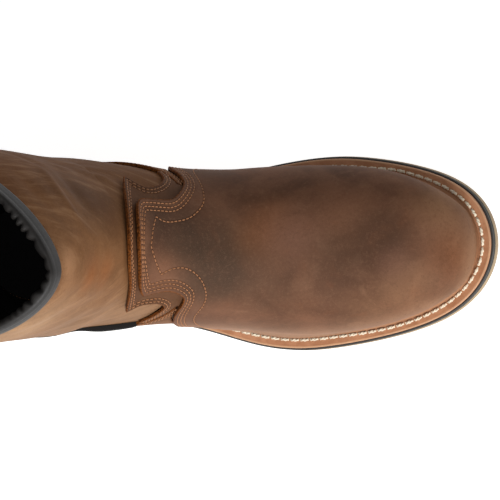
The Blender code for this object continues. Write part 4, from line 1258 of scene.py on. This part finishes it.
def hide_finish(name, shades, patches=(), streaks=0.0, raw=None, sides=()):
    """Oiled pull-up leather: clouded colour, fine nap, streaks, bare cut edges, darker along the threads as
    painted shade in their grooves, and painted light and shade by side and on the foot's lip.
    """
    f = Finish(name, Specular_IOR_Level=0.04)
    body, dark, light, warm = (tone(*shade) for shade in shades)
    broad = f.noise(34.0, 3.0, 0.55, warp=0.7)
    blotch = f.noise(12.0, 4.0, 0.6, warp=0.5)
    nap = f.noise(1.7, 4.0, 0.7)
    fine = f.noise(0.5, 2.0, 0.6)
    colour = f.mix(f.step(broad, 0.22, 0.66), dark, body)
    colour = f.mix(f.step(blotch, 0.5, 0.85) * 0.38, colour, light)
    colour = f.mix(f.step(blotch, 0.46, 0.2) * 0.42, colour, warm)
    turn = f.attribute("turn")
    square = turn * turn
    # Painted light and shade by side: the lateral side, which faces the key lamp, gets a paler painted sheen,
    # and the medial side of the shaft a darker painted shade. On the shaft both fade out towards the back
    # seam.
    front = 1 - f.step(square, 0.35, 0.9) if streaks else 1
    for side, start, stop, amount, shade in sides:
        colour = f.mix(f.step(turn * side, start, stop) * front * amount, colour, shade)
    height = nap * 0.5 + fine * 0.3
    if streaks:
        run = f.attribute("run")
        slant = (square + 0.0016) ** 0.5 - run * 0.0012
        across = f.node("ShaderNodeCombineXYZ", None,
                        {"X": slant * 0.18, "Y": run * 0.00007, "Z": turn * 0.02})
        calm = 1 - f.step(square, 0.08, 0.3) * 0.7
        streaks = streaks * calm * (0.4 + 0.6 * f.step(square, 0.0006, 0.006))
        streak = f.noise(5.0, 3.0, 0.55, across)
        line = f.noise(1.7, 2.0, 0.5, across)
        colour = f.mix(f.step(streak, 0.5, 0.72) * streaks, colour, light)
        colour = f.mix(f.step(streak, 0.46, 0.26) * streaks, colour, dark)
        colour = f.mix(f.step(line, 0.58, 0.8) * streaks * 0.6, colour, light)
        height = height + streak * 0.9 * streaks + line * 0.4 * streaks
    else:
        scratch = f.noise(1.5, 2.0, 0.5, f.place((25.0, 10.0, 40.0), (1.0, 16.0, 1.0)))
        colour = f.mix(f.step(scratch, 0.64, 0.82) * 0.16, colour, light)
        height = height + scratch * 0.2
    cloud = f.step(blotch * 0.5 + broad * 0.6, 0.3, 0.72)
    for centre, reach, shade, amount in patches:
        colour = f.mix(f.patch(centre, reach) * (0.45 + 0.55 * cloud) * amount, colour, shade)
    colour = f.mix(f.step(nap, 0.5, 0.72) * 0.14 + f.step(fine, 0.5, 0.7) * 0.1, colour, light)
    colour = f.mix(f.step(nap, 0.5, 0.28) * 0.32 + f.step(fine, 0.5, 0.3) * 0.16, colour, dark)
    # Painted highlight on the vamp's turned-out foot next to the welt.
    colour = f.mix(f.attribute("lip_highlight") * 0.65, colour, tone(168, 120, 88))
    edge = f.attribute("edge")
    thread = f.attribute("thread")
    # Painted shade: the leather is darker in the groove that each thread presses in.
    colour = f.mix((1 - f.step(thread, 0.1, 1.0)) * 0.5, colour, tone(44, 27, 18))
    colour = f.mix((1 - f.step(edge, 0.5, 2.6)) * 0.35, colour, dark)
    if raw:
        fray = f.noise(1.1, 3.0, 0.6)
        bare = f.mix(f.step(fray, 0.3, 0.7), tone(58, 31, 12), raw)
        colour = f.mix(1 - f.step(edge + 0.5 * fray, 0.65, 0.95), colour, bare)
    f.finish_surface(colour, 0.52 + 0.14 * nap + 0.1 * blotch, height, 0.5, 0.16)
    return f


# Patches of the oiled leather: centre in millimetres, reach, colour, amount. Most give the leather's own
# tone; those marked below are painted highlight and painted shade.
OLIVE = tone(58, 47, 38)
SOOT = tone(48, 37, 30)
RUST = tone(128, 76, 40)
ROSE = tone(118, 84, 70)
# A painted highlight, laid where the toe and the lateral side face the key lamp.
PAINTED_HIGHLIGHT = tone(150, 112, 82)
VAMP_PATCHES = [
    ((141.5, 14, 134), 17, SOOT, 0.75),
    ((143.4, 3, 138.5), 15, SOOT, 0.6),
    ((147.6, 5.6, 129.8), 18, SOOT, 0.6),
    ((150.9, 11.1, 122.1), 22, SOOT, 0.7),
    ((155.6, 1, 119.5), 22, OLIVE, 0.75),
    ((155.2, -19.5, 109.8), 20, OLIVE, 0.5),
    ((161.4, -6.4, 113), 24, OLIVE, 0.8),
    ((161.1, 8.3, 112.3), 22, SOOT, 0.6),
    ((167.2, -14.6, 105), 24, OLIVE, 0.75),
    ((172.8, 3.5, 105.2), 26, OLIVE, 0.7),
    ((177.1, -9.6, 101.6), 24, OLIVE, 0.6),
    ((169.2, -21.1, 98.9), 22, OLIVE, 0.6),
    ((160, 35.2, 79.8), 26, SOOT, 0.45),
    ((186.9, 5.8, 97.4), 20, RUST, 0.3),
    ((194, 18, 90), 18, RUST, 0.22),
    ((196.4, -9.4, 93), 30, OLIVE, 0.4),
    ((191.9, -27.6, 85.3), 26, OLIVE, 0.4),
    ((206.5, 5.5, 89.3), 24, ROSE, 0.4),
    ((225.7, -4.5, 82.3), 26, OLIVE, 0.5),
    ((222.9, -27.7, 75.3), 24, OLIVE, 0.25),
    ((250.8, 3.1, 74.6), 28, SOOT, 0.75),
    ((257.3, -9.2, 72.3), 16, ROSE, 0.5),
    ((263.5, -19.6, 67.2), 22, PAINTED_HIGHLIGHT, 0.4),
    ((277.7, 21.8, 57.2), 26, PAINTED_HIGHLIGHT, 0.6),
    ((287.7, 16, 32.7), 24, PAINTED_HIGHLIGHT, 0.7),
    ((284.4, -4.2, 60), 20, RUST, 0.35),
    ((291.3, 3.2, 45.8), 20, PAINTED_HIGHLIGHT, 0.5),
    ((288.7, -12.9, 38.7), 24, PAINTED_HIGHLIGHT, 0.8),
    ((272, -27, 40), 26, PAINTED_HIGHLIGHT, 0.6),
    ((246.2, -33.2, 62.8), 30, PAINTED_HIGHLIGHT, 0.3),
]
SHAFT_PATCHES = [
    # These three are painted shade, darker in the hollow of the fold on the medial front of the leg.
    ((118.3, 29.3, 185.1), 24, tone(74, 46, 24), 0.8),
    ((125.3, 23.1, 175.1), 26, tone(74, 46, 26), 0.85),
    ((131.6, 16.4, 167.2), 20, tone(86, 54, 31), 0.55),
    ((132.3, -6.4, 231.4), 12, tone(150, 112, 82), 0.55),
    ((132.7, -11.6, 228.5), 14, tone(152, 112, 80), 0.5),
    ((133.1, -13.1, 200), 15, RUST, 0.7),
    ((134, -12.6, 182), 14, RUST, 0.6),
    ((135, -6, 204), 13, tone(92, 64, 44), 0.5),
    # Painted highlight, paler on the lateral side of the leg where the key lamp falls.
    ((109.1, -40.1, 223.1), 36, tone(172, 140, 108), 0.5),
]


RAW_EDGE = tone(128, 73, 31)
# Plain materials: gloss, grain, two shades, roughness and its spread, bump strength and depth
PLAIN = {
    "strip_webbing": (0.3, (0.9, 2.0, 0.5), (9, 7, 6), (26, 24, 23), 0.6, 0.2, 0.4, 0.15),
    "lining_cloth": (0.2, (0.8, 2.0, 0.5), (12, 10, 12), (30, 27, 28), 0.8, 0.1, 0.4, 0.2),
    "midsole_rubber": (0.4, (0.8, 3.0, 0.6), (44, 42, 39), (66, 63, 60), 0.6, 0.2, 0.35, 0.15),
    "leather_thread": (0.4, (0.5, 2.0, 0.5), (120, 74, 42), (174, 118, 72), 0.5, 0.2, 0.5, 0.1),
    "welt_cord": (0.4, (0.5, 2.0, 0.5), (206, 190, 160), (246, 238, 220), 0.55, 0.2, 0.5, 0.1),
    "collar_cloth": (0.35, (1.1, 3.0, 0.6), (13, 11, 10), (26, 23, 21), 0.46, 0.2, 0.5, 0.15),
    "welt_hide": (0.25, (0.7, 3.0, 0.6), (164, 112, 78), (188, 135, 100), 0.5, 0.2, 0.4, 0.15),
    "outsole_rubber": (0.35, (1.0, 4.0, 0.6), (138, 116, 88), (164, 142, 112), 0.65, 0.2, 0.4, 0.2),
}
# Softer clouds that mix the two shades instead of the grain, the grain's share of a fleck, and its shade
CLOUDS = {
    "collar_cloth": ((9.0, 3.0, 0.5), (0.3, 0.7), 0.25, (46, 42, 39)),
    "welt_hide": ((7.0, 4.0, 0.6), (0.3, 0.7), 0.3, (186, 138, 106)),
    "outsole_rubber": ((14.0, 3.0, 0.5), None, 0.3, (196, 172, 140)),
}
# Places marked on a piece that get a painted highlight: mark, amount, shade
HIGHLIGHT_MARKS = {
    "strip_webbing": ("border", 1.0, (92, 94, 93)),
    "welt_hide": ("rim", 0.8, (196, 154, 118)),
}


def plain_finish(name):
    """Cloth, rubber or thread of one grain, with clouds, and painted highlights on marked places, where it
    has them.
    """
    gloss, grain, dark, light, rough, spread, strength, depth = PLAIN[name]
    f = Finish(name, Specular_IOR_Level=gloss)
    grain = f.noise(*grain)
    share = grain
    if name in CLOUDS:
        cloud, soft, fleck, shade = CLOUDS[name]
        share = f.noise(*cloud)
        share = f.step(share, *soft) if soft else share
    colour = f.mix(share, tone(*dark), tone(*light))
    if name in CLOUDS:
        colour = f.mix(grain * fleck, colour, tone(*shade))
    if name in HIGHLIGHT_MARKS:
        place, amount, shade = HIGHLIGHT_MARKS[name]
        colour = f.mix(f.attribute(place) * amount, colour, tone(*shade))
    f.finish_surface(colour, rough + spread * grain, grain, strength, depth)
    return f


def make_finishes():
    # In the sides lists below, the paler lateral shades are painted sheen where the key lamp falls, and the
    # shaft's darker medial shade is painted shade.
    vamp = hide_finish(
        "vamp_hide", ((110, 76, 57), (82, 56, 42), (140, 104, 81), (112, 72, 50)), VAMP_PATCHES, raw=RAW_EDGE,
        sides=[(-1, 0.4, 0.85, 0.5, tone(174, 138, 110))])
    shaft = hide_finish(
        "shaft_hide", ((113, 78, 50), (88, 58, 35), (144, 107, 76), (117, 76, 45)), SHAFT_PATCHES,
        streaks=0.5,
        sides=[(1, 0.1, 0.4, 0.8, tone(90, 51, 16)), (-1, 0.05, 0.3, 0.36, tone(156, 126, 100))])
    saddle = hide_finish(
        "saddle_hide", ((92, 62, 43), (68, 45, 30), (118, 86, 62), (96, 60, 38)), raw=RAW_EDGE,
        sides=[(-1, 0.15, 0.6, 0.4, tone(134, 98, 70))])
    quarter = hide_finish(
        "quarter_hide", ((114, 77, 50), (80, 52, 33), (142, 102, 70), (118, 74, 42)), raw=RAW_EDGE)
    for finish, *names in (
            (vamp, "vamp_leather"), (shaft, "upper_leather"), (saddle, "saddle_leather"),
            (quarter, "quarter_leather"),
            (plain_finish("strip_webbing"), "medial_strip", "lateral_strip"),
            (plain_finish("collar_cloth"), "collar_padding"),
            (plain_finish("lining_cloth"), "lining", "insole_pad"),
            (plain_finish("welt_hide"), "welt_strip"),
            (plain_finish("midsole_rubber"), "midsole_layer"),
            (plain_finish("outsole_rubber"), "outsole_rubber"),
            (plain_finish("leather_thread"), "vamp_thread", "saddle_thread", "quarter_thread"),
            (plain_finish("welt_cord"), "welt_thread")):
        finish.on(*(bpy.data.objects[name] for name in names))


def make_floor():
    mesh = bpy.data.meshes.new("floor")
    corners = [(x * FLOOR_REACH, y * FLOOR_REACH, 0) for x, y in ((-1, -1), (1, -1), (1, 1), (-1, 1))]
    mesh.from_pydata(corners, [], [(0, 1, 2, 3)])
    floor = put("floor", mesh)
    pale = Finish("pale_floor", Base_Color=(0.62, 0.62, 0.62, 1.0), Roughness=0.9,
                  Emission_Color=(1.0, 1.0, 1.0, 1.0), Emission_Strength=0.85, Specular_IOR_Level=0.1)
    pale.on(floor)


def area_light(name, place, target, size, power):
    lamp = bpy.data.lights.new(name, "AREA")
    lamp.shape = "DISK"
    lamp.size = size
    lamp.energy = power
    obj = put(name, lamp)
    obj.location = place
    obj.rotation_euler = (Vector(target) - Vector(place)).to_track_quat("-Z", "Y").to_euler()


def make_studio():
    make_floor()
    area_light("key", (0.8, -1.3, 1.15), (0.02, 0.0, 0.06), 0.9, 40.0)
    area_light("top", (0.3, 0.1, 2.0), (0.0, 0.0, 0.06), 1.6, 8.0)
    world = bpy.data.worlds.new("studio")
    world.use_nodes = True
    backdrop = world.node_tree.nodes["Background"]
    backdrop.inputs["Color"].default_value = (1.0, 1.0, 1.0, 1.0)
    backdrop.inputs["Strength"].default_value = 0.15
    bpy.context.scene.world = world
    bpy.context.scene.view_settings.view_transform = "Standard"


def make_camera():
    """Seen from above the toe, as the photograph: toe to the right, medial side up."""
    tilt = math.radians(CAMERA_TILT)
    back = Vector((math.cos(tilt), 0.0, math.sin(tilt)))
    right = Vector((math.sin(tilt), 0.0, -math.cos(tilt)))
    up = Vector((0.0, 1.0, 0.0))
    lens = bpy.data.cameras.new("camera")
    lens.lens = CAMERA_LENS
    lens.sensor_width = 36.0
    lens.clip_start = 0.05
    camera = put("camera", lens)
    turn = Matrix((right, up, back)).transposed().to_4x4()
    target = Vector(metres(CAMERA_TARGET).tolist())
    camera.matrix_world = Matrix.Translation(target + back * CAMERA_AWAY) @ turn
    bpy.context.scene.camera = camera


make_camera()
shell("upper_leather", "upper", LAST.start, 0.0, -WALL, spacing=2.6, columns=121)
shell("lining", None, LAST.start + 12.0, -WALL - 0.1, -WALL - 0.8, spacing=5.0, columns=81)
make_vamp()
make_saddle()
make_quarter()
make_strip("medial_strip", "side_strip_medial", 1)
make_strip("lateral_strip", "side_strip_lateral", -1)
make_collar()
# Rings 3 and 4, the welt's rounded outer top edge, carry a painted highlight.
sole_piece("welt_strip", "welt", [
    (WELT_INSET + 0.3, WELT_THICK + GAP), (WELT_INSET, WELT_THICK), (WELT_INSET, SOLE_GAP + 0.6),
    (WELT_INSET + 0.25, SOLE_GAP + 0.15), (WELT_INSET + 0.7, SOLE_GAP), (WELT_INSET + 1.1, SOLE_GAP),
    (WELT_INSET + 2.2, SOLE_GAP), (WELT_WIDTH, SOLE_GAP), (WELT_WIDTH, WELT_THICK + GAP)],
    loop=True, rims=(3, 4))
sole_piece("midsole_layer", "midsole", [
    (0.9, 9.8), (0.5, 9.4), (0.4, 8.2), (0.9, 7.8), (1.4, 7.5), (1.4, 6.6), (0.9, 6.3), (0.4, 5.9),
    (0.5, 4.3), (1.0, 3.8)])
sole_piece("insole_pad", "insole", [
    (WELT_WIDTH + 0.4, WELT_THICK + GAP), (WELT_WIDTH + 0.4, SOLE_GAP - GAP),
    (insole_inset(0.0), SOLE_GAP - GAP), (insole_inset(0.0), 0.6 - INSOLE_THICK),
    (insole_inset(0.6), -INSOLE_THICK)])
make_outsole()
make_threads()
make_finishes()
make_studio()
